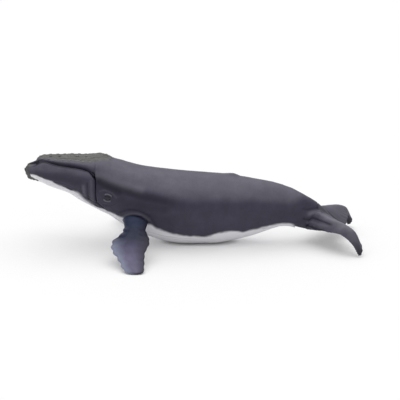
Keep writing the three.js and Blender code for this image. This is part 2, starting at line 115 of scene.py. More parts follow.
def read(line, x):
    """Reads a guide line at stations x, smoothly through its points and level beyond its ends."""
    xs = np.array([point[0] for point in line], float)
    values = np.array([point[1] for point in line], float)
    x = np.clip(np.asarray(x, float), xs[0], xs[-1])
    i = np.clip(np.searchsorted(xs, x, side="right") - 1, 0, len(xs) - 2)
    before, after = np.maximum(i - 1, 0), np.minimum(i + 2, len(xs) - 1)
    step = xs[i + 1] - xs[i]
    u = (x - xs[i]) / step
    leaving = (values[i + 1] - values[before]) / (xs[i + 1] - xs[before]) * step
    arriving = (values[after] - values[i]) / (xs[after] - xs[i]) * step
    near = (2 * u**3 - 3 * u**2 + 1) * values[i] + (u**3 - 2 * u**2 + u) * leaving
    return near + (3 * u**2 - 2 * u**3) * values[i + 1] + (u**3 - u**2) * arriving


def ease(start, end, x):
    """Eases from 0 to 1 between two stations."""
    t = np.clip((np.asarray(x, float) - start) / (end - start), 0, 1)
    return t * t * (3 - 2 * t)


def stations(stops):
    """Stations along X, each stretch divided by the step its first stop gives."""
    xs = []
    for (start, step), (end, _) in zip(stops, stops[1:]):
        xs.extend(np.linspace(start, end, max(1, round((end - start) / step)), endpoint=False))
    return np.array(xs + [stops[-1][0]])


def half_section(x):
    """Right half of the body's section at a station, from the top round to the bottom: way round, y, z."""
    top, middle = read(BACK_HEIGHT, x), read(WIDEST_HEIGHT, x)
    bottom, half = read(BELLY_HEIGHT, x), read(HALF_WIDTH, x)
    square = HEAD_SQUARENESS + (TRUNK_SQUARENESS - HEAD_SQUARENESS) * ease(CHEEK_X, SQUARE_END, x)
    turn = np.linspace(1, -1, SECTION_SAMPLES) * math.pi / 2
    power = np.where(turn > 0, 2 / square, 2 / BELLY_SQUARENESS)
    y = half * np.abs(np.cos(turn)) ** power
    rise = np.abs(np.sin(turn)) ** power
    z = np.where(turn > 0, middle + (top - middle) * rise, middle - (middle - bottom) * rise)
    way = np.concatenate([[0], np.cumsum(np.hypot(np.diff(y), np.diff(z)))])
    return way, y, z


def way_at_height(section, z):
    """How far round a half section lies the height z."""
    way, _, heights = section
    return np.interp(-z, -heights, way)


def rows_between(section, way_marks, counts):
    """Points of a half section in rows, spread evenly between marks round it."""
    way, y, z = section
    rows = [np.array([way_marks[0]])]
    for start, end, count in zip(way_marks, way_marks[1:], counts):
        rows.append(np.linspace(start, end, count + 1)[1:])
    rows = np.concatenate(rows)
    return np.stack([np.interp(rows, way, y), np.interp(rows, way, z)], axis=1)


def upright(x, rows):
    """Rows of (y, z) as points at a station."""
    return np.column_stack([np.full(len(rows), x), rows])


# Upper jaw: the side turns in under the rough crown, down to the mouth line and into the lower jaw
UNDERCUT = 1.3
UNDERCUT_FROM = 0.72
ROSTRUM_SPRING = 0.2
SKIRT_DEPTH = 5
SKIRT_TAPER = 0.06
CORNER_START = -99
CORNER_LATER = 8.5


def trunk_rows(x):
    """Half section of the back behind the mouth corner, from the top down to the flank joint."""
    section = half_section(x)
    shoulder = way_at_height(section, read(PAINTED_SHADE_LINE, x))
    joint = way_at_height(section, max(read(FLANK_LINE, x), section[2][-1]))
    return rows_between(section, [0, shoulder, max(joint, shoulder + 1)], [CROWN_ROWS, FLANK_ROWS])


def rostrum_rows(x):
    """Half section of the upper jaw, which runs into the back at the mouth corner."""
    half, top = read(ROSTRUM_HALF_WIDTH, x), read(ROSTRUM_HEIGHT, x)
    spring = read(MOUTH_LINE, x) + ROSTRUM_SPRING
    turn = np.linspace(1, 0, SECTION_SAMPLES) * math.pi / 2
    power = 2 / HEAD_SQUARENESS
    y, z = half * np.cos(turn) ** power, spring + (top - spring) * np.sin(turn) ** power
    way = np.concatenate([[0], np.cumsum(np.hypot(np.diff(y), np.diff(z)))])
    share = np.linspace(0, 1, CROWN_ROWS + 1)
    y, z = np.interp(share * way[-1], way, y), np.interp(share * way[-1], way, z)
    y = y - min(UNDERCUT, half / 3) * ease(UNDERCUT_FROM, 1, share) ** 1.5
    back = trunk_rows(x)[:CROWN_ROWS + 1]
    corner = ease(CORNER_START, CHEEK_X - CHEEK_GAP, x - CORNER_LATER * share**4)
    crown = np.column_stack([y, z]) * (1 - corner)[:, None] + back * corner[:, None]
    down = np.linspace(0, 1, FLANK_ROWS + 1)[1:]
    skirt = np.column_stack([crown[-1, 0] * (1 - SKIRT_TAPER * down), crown[-1, 1] - SKIRT_DEPTH * down])
    return np.vstack([crown, skirt])


# Rim of the lower jaw: (way in from the outside, drop) down to the floor of the mouth
RIM_ROUND = 1.0
RIM_PROFILE = [(0.12, 0.42), (0.45, 0.1), (0.95, 0.0), (1.5, 0.3), (1.95, 1.0), (2.3, 2.2), (2.55, 3.4)]
RIM_FULL_WIDTH = 14
MOUTH_FLOOR = 3.7
FLOOR_SHARES = [0.66, 0.33, 0]
JAW_SHARE = 0.44


def jaw_top(x):
    """Height of the lower jaw's rim, which closes into a rounded tip in front."""
    return np.minimum(read(MOUTH_LINE, x), read(BACK_HEIGHT, x))


def jaw_rows(x):
    """Half section of the lower jaw, from just under its rim to the bottom of the throat."""
    section = half_section(x)
    rim = way_at_height(section, jaw_top(x) - RIM_ROUND * rim_size(x))
    mark = rim + (section[0][-1] - rim) * JAW_SHARE
    return rows_between(section, [rim, mark, section[0][-1]], [JAW_ROWS, THROAT_ROWS])


def belly_rows(x):
    """Half section of the belly from the flank joint to its middle; its first rows lie together."""
    section = half_section(x)
    joint = way_at_height(section, max(read(FLANK_LINE, x), section[2][-1]))
    return rows_between(section, [joint, joint, section[0][-1]], [JAW_ROWS, THROAT_ROWS])


def rim_size(x):
    """How full the rim is: nothing at the closed tip of the jaw, whole a little further back."""
    _, y, z = half_section(x)
    across = np.interp(-jaw_top(x), -z[:SECTION_SAMPLES // 2], y[:SECTION_SAMPLES // 2])
    return min(1.0, across / RIM_FULL_WIDTH)


def mirrored(right):
    """Points of the right half, from the middle outward, with their left half before them."""
    left = right[:0:-1] * np.array([1, -1, 1])
    return np.vstack([left, right])


def back_grid(xs, rows_at):
    """Back points run over the top, from the left edge to the right one."""
    return np.array([mirrored(upright(x, rows_at(x))) for x in xs])


def belly_grid(xs, rows_at):
    """Belly points run from the right edge under the middle to the left edge."""
    grid = np.array([mirrored(upright(x, rows_at(x))[::-1]) for x in xs])
    return grid[:, ::-1]


# Sculpting strokes seen from the side: (points along the stroke, half width, rise, dark wash and painted
# shade); a stroke that rises is also rubbed and painted lighter
SIDE_STROKES = [
    # mouth corner, cheek groove and the line that runs back under the cheek
    ([(-91, 72.4), (-89, 70.6), (-88.15, 66), (-88.15, 47), (-85.5, 42.5), (-80, 38)], 0.7, -0.95, 1.0),
    ([(-95.6, 64), (-95.4, 55), (-94.6, 43)], 0.8, -0.5, 0.7),
    ([(-91.8, 66), (-91.6, 56), (-91.2, 44)], 1.4, 0.4, 0.0),
    ([(-99.2, 61), (-98.6, 54), (-97.6, 46)], 1.5, 0.45, 0.0),
    ([(-101.8, 60), (-101.4, 53), (-100.4, 48)], 0.8, -0.35, 0.45),
    # brow over the eye, the hollow behind it and the long shoulder, with painted shade along and under the
    # shoulder and a painted highlight along the upper flank
    ([(-87, 72), (-80, 69), (-72, 65.4), (-60, 61), (-46, 57.4)], 3.0, 0.8, 0.0),
    ([(-86, 66), (-80, 62.6), (-68, 58.6), (-56, 55.2)], 4.2, -1.1, 0.8),
    ([(-85, 65.4), (-77, 61.4), (-66, 57)], 4.8, -0.3, 0.98),
    ([(-54, 54.2), (-47, 52.2), (-40, 50.6), (-32, 49.2)], 4.2, -0.8, 0.78),
    ([(-30, 48.8), (-27, 48), (-24, 47.2)], 4.2, -0.4, 0.68),
    ([(-23, 47), (-20, 46.2), (-17, 45.4)], 4.4, -0.2, 0.52),
    ([(-16, 45.2), (-12, 44.4), (-8, 43.6)], 4.8, 0.0, 0.36),
    ([(-7, 43.4), (0, 42.6), (8, 42)], 5.4, 0.0, 0.2),
    ([(8, 38), (35, 36.5), (60, 34.5), (85, 32), (100, 31)], 4.6, 0.0, 0.1),
    ([(-26, 61.5), (-5, 57), (20, 55.5), (50, 53), (76, 50), (94, 46.5)], 6.2, 0.24, 0.0),
    ([(-84, 58), (-72, 52), (-58, 46), (-42, 42)], 8.0, 0.0, 0.42),
    ([(-56, 46), (-42, 43), (-26, 40)], 6.5, 0.0, 0.5),
    ([(-44, 34), (-30, 32), (-16, 30)], 6.0, 0.0, 0.3),
    ([(-86.4, 76), (-85.6, 71), (-85.4, 66)], 2.6, -0.2, 0.3),
    # hollow round the eye, the fold over it and the crease under it
    ([(-79, 50.4), (-75, 50)], 4.0, -0.5, 0.3),
    ([(-84, 56.6), (-79, 57.6), (-73, 55), (-69, 51)], 1.0, 0.4, 0.0),
    ([(-81, 43.4), (-76, 42), (-69.6, 44.6)], 0.8, -0.35, 0.4),
    # folds round the flipper root
    ([(-61.6, 27.6), (-59.6, 30), (-55, 32.4), (-49, 32.2), (-43.6, 29), (-41.6, 26.4)], 1.0, -0.9, 1.0),
    ([(-64.6, 29), (-61, 33), (-54.6, 35.6), (-47, 34.8), (-39.8, 30)], 1.3, 0.6, 0.0),
    ([(-66, 36), (-58, 38.8), (-48, 38), (-39, 33.4)], 0.9, -0.5, 0.6),
    ([(-37.6, 31), (-35, 27.4), (-33, 24)], 1.0, -0.4, 0.45),
    ([(-68, 35), (-66.6, 32), (-65.4, 29)], 0.9, -0.35, 0.4),
    # hollow along the side of the lower jaw, with painted shade in it
    ([(-142, 68.6), (-122, 67), (-104, 64)], 4.0, -0.4, 0.5),
    # neck creases
    ([(-66, 47), (-61, 42.6), (-54, 44.4)], 0.9, -0.25, 0.3),
    # creases where the flukes leave the tail stock
    ([(104, 34.4), (109, 33.4), (117.5, 34)], 1.3, -0.5, 0.5),
    ([(110.6, 29.4), (113, 30), (117.6, 30.2)], 2.4, 1.05, 0.0),
    ([(105, 24.4), (110, 23.2), (117.6, 23)], 1.2, -0.6, 0.65),
    ([(108, 20.4), (112, 20), (117.6, 19.8)], 1.1, 0.3, 0.0),
    ([(108, 17.4), (112, 16.8), (117.6, 16.6)], 1.2, -0.5, 0.7),
]

# Strokes seen from above: blowholes, the guard round them, the ridge along the head and its hollows
TOP_STROKES = [
    ([(-81.4, 1.1), (-77.6, 2.3)], 0.55, -1.0, 1.0),
    ([(-81.4, -1.1), (-77.6, -2.3)], 0.55, -1.0, 1.0),
    ([(-84.4, 0), (-82.6, 3.2), (-78.4, 4.8), (-75.6, 3.6)], 1.3, 0.7, 0.0),
    ([(-84.4, 0), (-82.6, -3.2), (-78.4, -4.8), (-75.6, -3.6)], 1.3, 0.7, 0.0),
    ([(-141, 0), (-120, 0), (-90, 0)], 1.5, 0.5, 0.0),
    ([(-136, 4.6), (-120, 7.6), (-100, 9.4), (-88, 7)], 1.6, -0.4, 0.4),
    ([(-136, -4.6), (-120, -7.6), (-100, -9.4), (-88, -7)], 1.6, -0.4, 0.4),
]

# Painted shade in the notch under the tip of the upper jaw: stations, and heights above the mouth line
LIP_SHADOW_X = (-142.6, -140.6)
LIP_SHADOW_RISE = (1.4, 2.6)

# Low fin and the knuckles behind it: (station, half length, half width, height)
FIN = [(33, 9, 2.6, 1.3), (39.5, 5.5, 2.1, 1.6)]
KNUCKLES = [
    (57, 3.6, 2.2, 0.5), (66, 3.4, 2.0, 0.55), (75, 3.4, 1.9, 0.5), (84, 3.2, 1.8, 0.45),
    (93, 3.2, 1.7, 0.4)]

# Strokes from the side leave a strip along the middle alone, those from above stay near the top
MIDDLE_STRIP = 4
TOP_REACH = 8
FIN_RUB = 0.6

# Throat pleats: they fade in and out along the throat, and run out under the joint and high on the side
PLEATS = 10
PLEAT_DEPTH = 1.0
PLEAT_SHARPNESS = 6
PLEAT_WASH_AND_SHADE = 0.55
PLEAT_START = -149
PLEAT_END = 6
PLEAT_FADE = 16
PLEAT_RUN_OUT = (0.3, 3.2)
PLEAT_JOINT_X = (-90, -84)
PLEAT_HIGH_SIDE = (0.2, 0.45)

# Edge of the sprayed white: how it sways, as (lump size, reach, shift), and where the spray is softer
WHITE_SWAY = [(9, 1.3, 3), (3.5, 0.6, 7)]
WHITE_SOFTNESS = 1.0
TRUNK_SPRAY = 0.7
TRUNK_SPRAY_X = (-90, -40)
CHEEK_SPRAY = 3.2
CHEEK_SPRAY_X = (-110, -103)
CHEEK_SPRAY_END_X = (-96, -88)

# Rough crown of the head, as a share of the upper jaw's width, and the crusted front of the chin
CROWN_WIDTH = 0.7
CROWN_EDGE = (-1.2, 0.8)
CROWN_END_X = (-77.5, -73.5)
CRUST_EDGE_X = -150.6
CRUST_SLANT = 8.4
CRUST_SLANT_Z = (67, 61)
CRUST_SWAY = 1.2
CRUST_LUMP = 3
CRUST_WASH = 0.32

# Unevenness of the moulded skin: (lump size, height), with dark wash and painted shade in its hollows and rub
# and painted highlight on its lumps
SKIN_WAVES = [(14, 0.16), (5, 0.07)]
CROWN_WAVES = [(4.2, 0.5), (1.7, 0.25)]
CRUST_WAVES = [(CRUST_LUMP, 0.75), (1.5, 0.5)]
ROUGH_STEP = (0.05, 0.6)
HOLLOW_WASH_AND_SHADE = 0.45
LUMP_RUB_AND_HIGHLIGHT = 0.7
PAINTED_SHADE_LUMP = 12


def distance_to(points, a, b):
    """Distance in the plane from every (a, b) to a line through points."""
    best = np.full(a.shape, np.inf)
    for (a0, b0), (a1, b1) in zip(points, points[1:]):
        run = (a1 - a0) ** 2 + (b1 - b0) ** 2
        t = np.clip(((a - a0) * (a1 - a0) + (b - b0) * (b1 - b0)) / run, 0, 1)
        best = np.minimum(best, np.hypot(a - a0 - t * (a1 - a0), b - b0 - t * (b1 - b0)))
    return best


def curved(points):
    """A stroke with its corners rounded off into a smooth line through its points."""
    points = np.array(points, float)
    if len(points) < 3:
        return points
    before = np.vstack([2 * points[0] - points[1], points[:-2]])
    after = np.vstack([points[2:], 2 * points[-1] - points[-2]])
    done = [points[0]]
    for p0, p1, p2, p3 in zip(before, points[:-1], points[1:], after):
        for t in np.linspace(0, 1, CURVE_STEPS + 1)[1:]:
            done.append(0.5 * (2 * p1 + (p2 - p0) * t + (2 * p0 - 5 * p1 + 4 * p2 - p3) * t**2
                               + (3 * p1 - p0 - 3 * p2 + p3) * t**3))
    return np.array(done)


def along_stroke(points, width, a, b):
    """1 on the middle of a stroke, falling off to 0 over its half width, at every (a, b)."""
    return np.exp(-((distance_to(curved(points), a, b) / width) ** 2))


def waves(points, size, shift):
    """Smooth noise at points, from -1 to 1, with lumps of a size; each shift gives another pattern."""
    return np.array([noise.noise(Vector(point) / size + Vector((shift, 0, 0))) for point in points])


def outward(grid):
    """Unit normals of a grid of points, facing out."""
    normal = np.cross(np.gradient(grid, axis=0), np.gradient(grid, axis=1))
    return normal / np.maximum(np.linalg.norm(normal, axis=2, keepdims=True), 1e-9)


def crown_share(points):
    """1 on the rough top of the head and 0 on the smooth skin round it."""
    x, y, _ = points.T
    edge = read(ROSTRUM_HALF_WIDTH, x) * CROWN_WIDTH
    inside = 1 - ease(edge + CROWN_EDGE[0], edge + CROWN_EDGE[1], np.abs(y))
    return inside * (1 - ease(*CROWN_END_X, x))


def white_share(points):
    """1 on the sprayed white under the whale and 0 on the dark coat, with a soft wavy edge."""
    x, _, z = points.T
    sway = sum(reach * waves(points, size, shift) for size, reach, shift in WHITE_SWAY)
    soft = WHITE_SOFTNESS + TRUNK_SPRAY * ease(*TRUNK_SPRAY_X, x)
    soft = soft + CHEEK_SPRAY * ease(*CHEEK_SPRAY_X, x) * (1 - ease(*CHEEK_SPRAY_END_X, x))
    return (1 - ease(-soft, soft, z - read(WHITE_LINE, x) + sway)) * (1 - crust_share(points))


def crust_share(points):
    """1 on the crusted front of the chin."""
    x, _, z = points.T
    edge = CRUST_EDGE_X + CRUST_SLANT * ease(*CRUST_SLANT_Z, z)
    edge = edge + CRUST_SWAY * waves(points, CRUST_LUMP, shift=4)
    return 1 - ease(-1.0, 1.0, x - edge)


def carved(grid, top_side):
    """How far strokes, low forms and pleats lift each point, its dark wash and painted shade, and how rubbed
    and painted lighter it is.
    """
    x, y, z = grid[..., 0], grid[..., 1], grid[..., 2]
    rise, wash, rub = np.zeros(x.shape), np.zeros(x.shape), np.zeros(x.shape)
    for points, width, height, dark in SIDE_STROKES:
        near = along_stroke(points, width, x, z) * (np.abs(y) > MIDDLE_STRIP)
        rise += height * near
        wash = np.maximum(wash, dark * near)
        rub = np.maximum(rub, np.clip(height, 0, 1) * near)
    if not top_side:
        groove = pleats(grid)
        return rise - PLEAT_DEPTH * groove, np.maximum(wash, PLEAT_WASH_AND_SHADE * groove), rub
    high = z > read(BACK_HEIGHT, x) - TOP_REACH
    for points, width, height, dark in TOP_STROKES:
        near = along_stroke(points, width, x, y) * high
        rise += height * near
        wash = np.maximum(wash, dark * near)
    for station, length, width, height in FIN + KNUCKLES:
        near = np.exp(-(((x - station) / length) ** 2) - (y / width) ** 2) * high
        rise += height * near
        rub = np.maximum(rub, FIN_RUB * near)
    lip_shade = (1 - ease(*LIP_SHADOW_X, x)) * (1 - ease(*LIP_SHADOW_RISE, z - read(MOUTH_LINE, x)))
    return rise, np.maximum(wash, lip_shade), rub


def sculpt(grid, top_side):
    """Works all forms and the uneven surface into a grid and returns it with its paint masks.

    A mask is 1 where its paint is whole: crown is the rough grey-green coat, one mask the dark wash and
    painted shade in hollows, one the worn edges and painted highlights, white the sprayed belly and shade the
    painted shade of the flank.
    """
    shape = grid.shape[:2]
    flat, normal = grid.reshape(-1, 3), outward(grid).reshape(-1, 3)
    rise, wash, rub = (layer.reshape(-1) for layer in carved(grid, top_side))
    rough_waves = CROWN_WAVES if top_side else CRUST_WAVES
    crown = crown_share(flat) if top_side else crust_share(flat)
    lumps = sum(height * waves(flat, size, shift=1) for size, height in SKIN_WAVES)
    rough = sum(height * waves(flat, size, shift=5) for size, height in rough_waves)
    rise = rise + lumps + rough * crown
    all_over = 0 if top_side else CRUST_WASH
    wash = np.maximum(wash, crown * (all_over + ease(*ROUGH_STEP, -rough) * HOLLOW_WASH_AND_SHADE))
    rub = np.maximum(rub, crown * ease(*ROUGH_STEP, rough) * LUMP_RUB_AND_HIGHLIGHT)
    done = flat + normal * rise[:, None]
    done[:, 2] = np.maximum(done[:, 2], 0)
    # Below this line the darker flank coat is painted shade, and above it the paler back coat is painted
    # light
    line = PAINTED_SHADE_LINE if top_side else JAW_PAINTED_SHADE_LINE
    soft = read(PAINTED_SHADE_SOFTNESS, flat[:, 0])
    under_line = read(line, flat[:, 0]) + waves(flat, PAINTED_SHADE_LUMP, shift=6) - flat[:, 2]
    masks = {"crown": crown, "wash": wash, "rub": rub, "white": white_share(flat),
             "shade": ease(-soft, soft, under_line)}
    return done.reshape(*shape, 3), {name: mask.reshape(shape) for name, mask in masks.items()}


def pleats(grid):
    """How deep every point lies in the narrow grooves between the rounded pleats of the throat."""
    x, y, z = grid[..., 0], grid[..., 1], grid[..., 2]
    middle, bottom = read(WIDEST_HEIGHT, x), read(BELLY_HEIGHT, x)
    down = np.clip((middle - z) / (middle - bottom), 0, 1)
    out = np.clip(np.abs(y) / read(HALF_WIDTH, x), 0, 1)
    turn = np.arctan2(down ** (BELLY_SQUARENESS / 2), out ** (BELLY_SQUARENESS / 2))
    share = turn / (math.pi / 2)
    groove = np.abs(np.cos(math.pi * share * PLEATS)) ** PLEAT_SHARPNESS
    fullness = ease(PLEAT_START, PLEAT_START + PLEAT_FADE, x)
    fullness = fullness * (1 - ease(PLEAT_END - PLEAT_FADE, PLEAT_END, x))
    above_joint = 1 - ease(*PLEAT_RUN_OUT, read(FLANK_LINE, x) - z)
    fullness = fullness * (1 - above_joint * ease(*PLEAT_JOINT_X, x))
    return groove * fullness * ease(*PLEAT_HIGH_SIDE, share)


# Hidden membrane that closes a skin: shares of the way across, its sink and its dark wash and painted shade,
# which also darken the rim and mouth of the lower jaw, and when a ring is shut
MEMBRANE_SHARES = [0.02, 0.06, 0.2, 0.5, 0.8, 0.94, 0.98]
MEMBRANE_SINK = 1.5
INSIDE_WASH_AND_SHADE = 0.45
SHUT_WIDTH = 0.6
SHUT_HALF_WIDTH = 1
MERGE_DISTANCE = 0.01 * MM


def piece_from_rings(name, rings, masks):
    """A closed skin from a primitive grid: its points are laid on the rings, its seam and ends closed."""
    along, around = rings.shape[:2]
    bpy.ops.mesh.primitive_grid_add(x_subdivisions=around, y_subdivisions=along - 1, size=1)
    piece = bpy.context.object
    piece.name = piece.data.name = name
    wrapped = np.concatenate([rings, rings[:, :1]], axis=1).reshape(-1, 3) * MM
    piece.data.vertices.foreach_set("co", wrapped.astype(np.float32).ravel())
    for mask_name, mask in masks.items():
        layer = piece.data.attributes.new(mask_name, "FLOAT", "POINT")
        values = np.concatenate([mask, mask[:, :1]], axis=1)
        layer.data.foreach_set("value", values.astype(np.float32).ravel())
    bpy.ops.object.mode_set(mode="EDIT")
    bpy.ops.mesh.select_all(action="SELECT")
    bpy.ops.mesh.remove_doubles(threshold=MERGE_DISTANCE)
    bpy.ops.mesh.select_all(action="DESELECT")
    bpy.ops.mesh.select_mode(type="EDGE")
    bpy.ops.mesh.select_non_manifold(extend=False, use_boundary=True, use_multi_face=False,
                                     use_wire=False, use_non_contiguous=False, use_verts=False)
    bpy.ops.mesh.edge_face_add()
    bpy.ops.mesh.select_mode(type="FACE")
    bpy.ops.mesh.poke()
    bpy.ops.mesh.select_all(action="SELECT")
    bpy.ops.mesh.normals_make_consistent(inside=False)
    bpy.ops.object.mode_set(mode="OBJECT")
    return piece


def deselect():
    """Deselects every object."""
    bpy.ops.object.select_all(action="DESELECT")


def closing_points(edge_right, edge_left, shares, drop):
    """Points straight across the inside of a ring from its left edge to its right one."""
    across = edge_right - edge_left
    return np.array([edge_left + across * share + np.array([0, 0, drop]) for share in shares])


def with_inside(grid, masks, inside):
    """Adds the hidden or inner points of every ring, given by a function of its station index."""
    inner = np.array([inside(i) for i in range(len(grid))])
    rings = np.concatenate([grid, inner], axis=1)
    filled = {}
    for name, mask in masks.items():
        # Inner points take the dark wash and painted shade and the flank's painted shade; their white follows
        # the edge
        value = {"wash": INSIDE_WASH_AND_SHADE, "shade": 1.0, "white": mask[:, :1]}.get(name, 0.0)
        filled[name] = np.concatenate([mask, np.zeros(inner.shape[:2]) + value], axis=1)
    return rings, filled


def joined(*parts):
    """Runs of rings and their masks, one after the other."""
    rings = np.concatenate([part[0] for part in parts])
    masks = {name: np.concatenate([part[1][name] for part in parts]) for name in parts[0][1]}
    return rings, masks


def back_rings(stops, rows_at):
    """Rings of one stretch of the back, closed by the membrane across its underside."""
    grid, masks = sculpt(back_grid(stations(stops), rows_at), top_side=True)
    shut = grid[:, -1, 1] - grid[:, 0, 1] < SHUT_WIDTH

    def inside(i):
        if shut[i]:
            grid[i, 0] = grid[i, -1] = (grid[i, 0] + grid[i, -1]) / 2
        return closing_points(grid[i, 0], grid[i, -1], MEMBRANE_SHARES, 0 if shut[i] else MEMBRANE_SINK)

    return with_inside(grid, masks, inside)


def make_back():
    """Upper jaw and trunk in one closed skin."""
    upper_jaw = back_rings(ROSTRUM_STOPS, rostrum_rows)
    trunk = back_rings(TRUNK_STOPS, trunk_rows)
    return piece_from_rings("back_skin", *joined(upper_jaw, trunk))


def rim_points(grid, i, size):
    """Rim and mouth floor of the lower jaw, from its left edge across to its right one."""
    right, left = grid[i, 0], grid[i, -1]
    top = jaw_top(right[0])
    half = (right[1] - left[1]) / 2
    inner = half - RIM_PROFILE[-1][0] * size
    side = [(half - way_in * size, top - drop * size) for way_in, drop in RIM_PROFILE]
    side += [(inner * share, top - MOUTH_FLOOR * size) for share in FLOOR_SHARES]
    across = [(-y, z) for y, z in side] + [(y, z) for y, z in side[-2::-1]]
    return np.array([(right[0], y, z) for y, z in across])


# Dark wash and painted shade on the rim and in the mouth, and the crust on the rim, near the tip of the lower
# jaw, each eased between two stations
MOUTH_WASH_AND_SHADE_X = (-152, -136)
MOUTH_SHADE_X = (-150, -144)
RIM_CRUST_X = (-151.5, -147.5)


def make_belly():
    """Lower jaw with its rim and mouth floor, and the belly behind it, in one closed skin."""
    xs = stations(JAW_STOPS)
    jaw, jaw_masks = sculpt(belly_grid(xs, jaw_rows), top_side=False)
    sizes = [rim_size(x) for x in xs]
    jaw_rings, jaw_masks = with_inside(jaw, jaw_masks, lambda i: rim_points(jaw, i, sizes[i]))
    outside = jaw.shape[1]
    jaw_masks["wash"][:, outside:] *= ease(*MOUTH_WASH_AND_SHADE_X, xs)[:, None]
    jaw_masks["crown"][:, outside:] = (1 - ease(*RIM_CRUST_X, xs))[:, None]
    jaw_masks["shade"][:, outside:] *= ease(*MOUTH_SHADE_X, xs)[:, None]
    belly, belly_masks = sculpt(belly_grid(stations(BELLY_STOPS), belly_rows), top_side=False)
    shares = np.linspace(0, 1, jaw_rings.shape[1] - outside + 2)[1:-1]

    def inside(i):
        lift = MEMBRANE_SINK if belly[i, 0, 1] > SHUT_HALF_WIDTH else 0
        return closing_points(belly[i, 0], belly[i, -1], shares, -lift)

    belly_part = with_inside(belly, belly_masks, inside)
    return piece_from_rings("belly_skin", *joined((jaw_rings, jaw_masks), belly_part))


# Flippers: t runs from 0 at the flank to 1 at the tip, and the skin starts a little inside the flank
FLIPPER_ROOT_Y = 26
FLIPPER_ROOT_Z = 28
FLIPPER_SPAN = 72
FLIPPER_DROP = 27.4
FLIPPER_DROOP = 1.25
FLIPPER_BURIED = 0.1
FLIPPER_LEADING = [
    (-0.12, -65), (0.05, -62.6), (0.22, -61.4), (0.33, -64.2), (0.43, -70), (0.55, -71.2), (0.65, -69),
    (0.75, -64.8), (0.9, -60.2), (1, -56.5)]
FLIPPER_TRAILING = [
    (-0.12, -38.4), (0.05, -40), (0.22, -41.6), (0.39, -38.2), (0.5, -38), (0.65, -41.2), (0.9, -41.4),
    (1, -42)]
FLIPPER_THICKNESS = [(-0.12, 13), (0.02, 11), (0.1, 8.2), (0.45, 5.4), (1, 2.6)]
FLIPPER_STEPS = 190
FLIPPER_TIP_STEPS = 24
FLIPPER_TIP_START = 0.94
FLIPPER_TIP_LEFT = 0.0004
FLIPPER_SECTION_STEPS = 84
FLIPPER_WAVE = 0.12
FLIPPER_LUMP = 5
FRONT_FULLNESS = 0.3

# Knobs in front and scallops behind, and the three low finger ridges, each with the stretch it fades over
KNOB_SPACING = 0.11
KNOB_HEIGHT = 1.3
KNOB_START = (0.12, 0.25)
KNOB_END = (0.9, 0.98)
KNOB_RUB_REACH = 0.3
SCALLOP_HEIGHT = 0.5
FINGERS = 3
FINGER_HEIGHT = 0.28
FINGER_START = (0.15, 0.4)
FINGER_END = (0.8, 1)

# Flukes: each guide a list of (distance out from the middle, value)
FLUKE_LEADING_X = [
    (0, 106), (8, 108.4), (12, 111.8), (16, 114.4), (20, 117), (30, 125), (40, 136), (46, 145.6),
    (49, 151.6)]
FLUKE_LEADING_Z = [(0, 13.4), (10, 14.4), (20, 16.6), (30, 18.2), (40, 18.9), (46, 12), (49, 2)]
FLUKE_TRAILING_X = [
    (0, 140), (3, 143), (7, 146), (11, 147.6), (20, 149.8), (30, 151.4), (36, 153.6), (40, 155.8),
    (46, 156.6), (49, 155)]
FLUKE_TRAILING_Z = [(0, 13.5), (10, 15.5), (20, 18), (30, 17.5), (40, 10.5), (46, 5.5), (49, 1.8)]
FLUKE_CREST_Z = [
    (0, 26), (8, 27), (14, 27.2), (20, 26.6), (27, 25.8), (32, 24.8), (37, 22.6), (41, 19.6), (46, 11),
    (49, 2.6)]
FLUKE_CREST_SHARE = [(0, 0.24), (15, 0.24), (22, 0.28), (29, 0.44), (36, 0.6), (42, 0.66), (49, 0.6)]
FLUKE_THICKNESS = [(0, 11), (8, 9), (16, 6.6), (25, 4.8), (40, 3.8), (46, 3), (49, 2.2)]
FLUKE_HALF_SPAN = 49
FLUKE_STATIONS = 261
FLUKE_SECTION_STEPS = 64
FLUKE_TIP_CROWDING = 0.93
FLUKE_SCALLOP_PITCH = 6
FLUKE_SCALLOP_DEPTH = 1.1
FLUKE_SCALLOP_START = (9, 15)
FLUKE_SCALLOP_END = (40, 47)
FLUKE_SCALLOP_REAR = 0.7

# End of the tail stock that is melted into the flukes, and the fairing where they meet
TAIL_CORE_START = 118.1
TAIL_CORE_END = 138
TAIL_CORE_STATIONS = 30
TAIL_CORE_ROWS = 40
FLUKE_VOXEL = 0.5
MELT_PASSES = 3
FAIRING_START_X = 119.5
FAIRING_END_X = 137
FAIRING_HALF_WIDTH = 15
FAIRING_PASSES = 30

# Creases in the flukes seen from above: (points as station and distance out, half width, rise, dark wash and
# painted shade)
FLUKE_STROKES = [
    ([(118, 8.4), (124, 7.6), (132, 5.5), (139, 2)], 1.1, -0.5, 0.6),
    ([(139.5, 0), (134, 0)], 1.0, -0.8, 0.6),
]

# Folds that run from the tail stock into the front of the lobes, seen from the side
FLUKE_FOLDS = [
    ([(110, 30.4), (119, 30.6)], 1.6, 0.5, 0.0),
    ([(107, 25), (112, 25.7), (124.7, 25.2), (134.5, 23)], 1.0, -0.5, 0.7),
    ([(108, 21.6), (114, 22), (124.7, 22.3), (133, 21)], 1.1, 0.4, 0.0),
    ([(108, 17.8), (113.6, 17.8), (119, 18.4), (125, 18.2), (131, 18.2)], 1.2, -0.5, 0.8),
]
FOLD_REACH = (0.3, 0.45)
FOLD_END = (26, 31)

# Painted highlight along the crest of the lobes, the surface of the flukes and how high they stay over the
# ground
CREST_WIDTH = 0.1
CREST_HIGHLIGHT = 0.8
CREST_START = (10, 16)
CREST_END = (34, 44)
STROKE_RUB_AND_HIGHLIGHT = 1.5
FLUKE_WAVE = 0.12
FLUKE_LUMP = 6
FLUKE_GROUND = 0.4


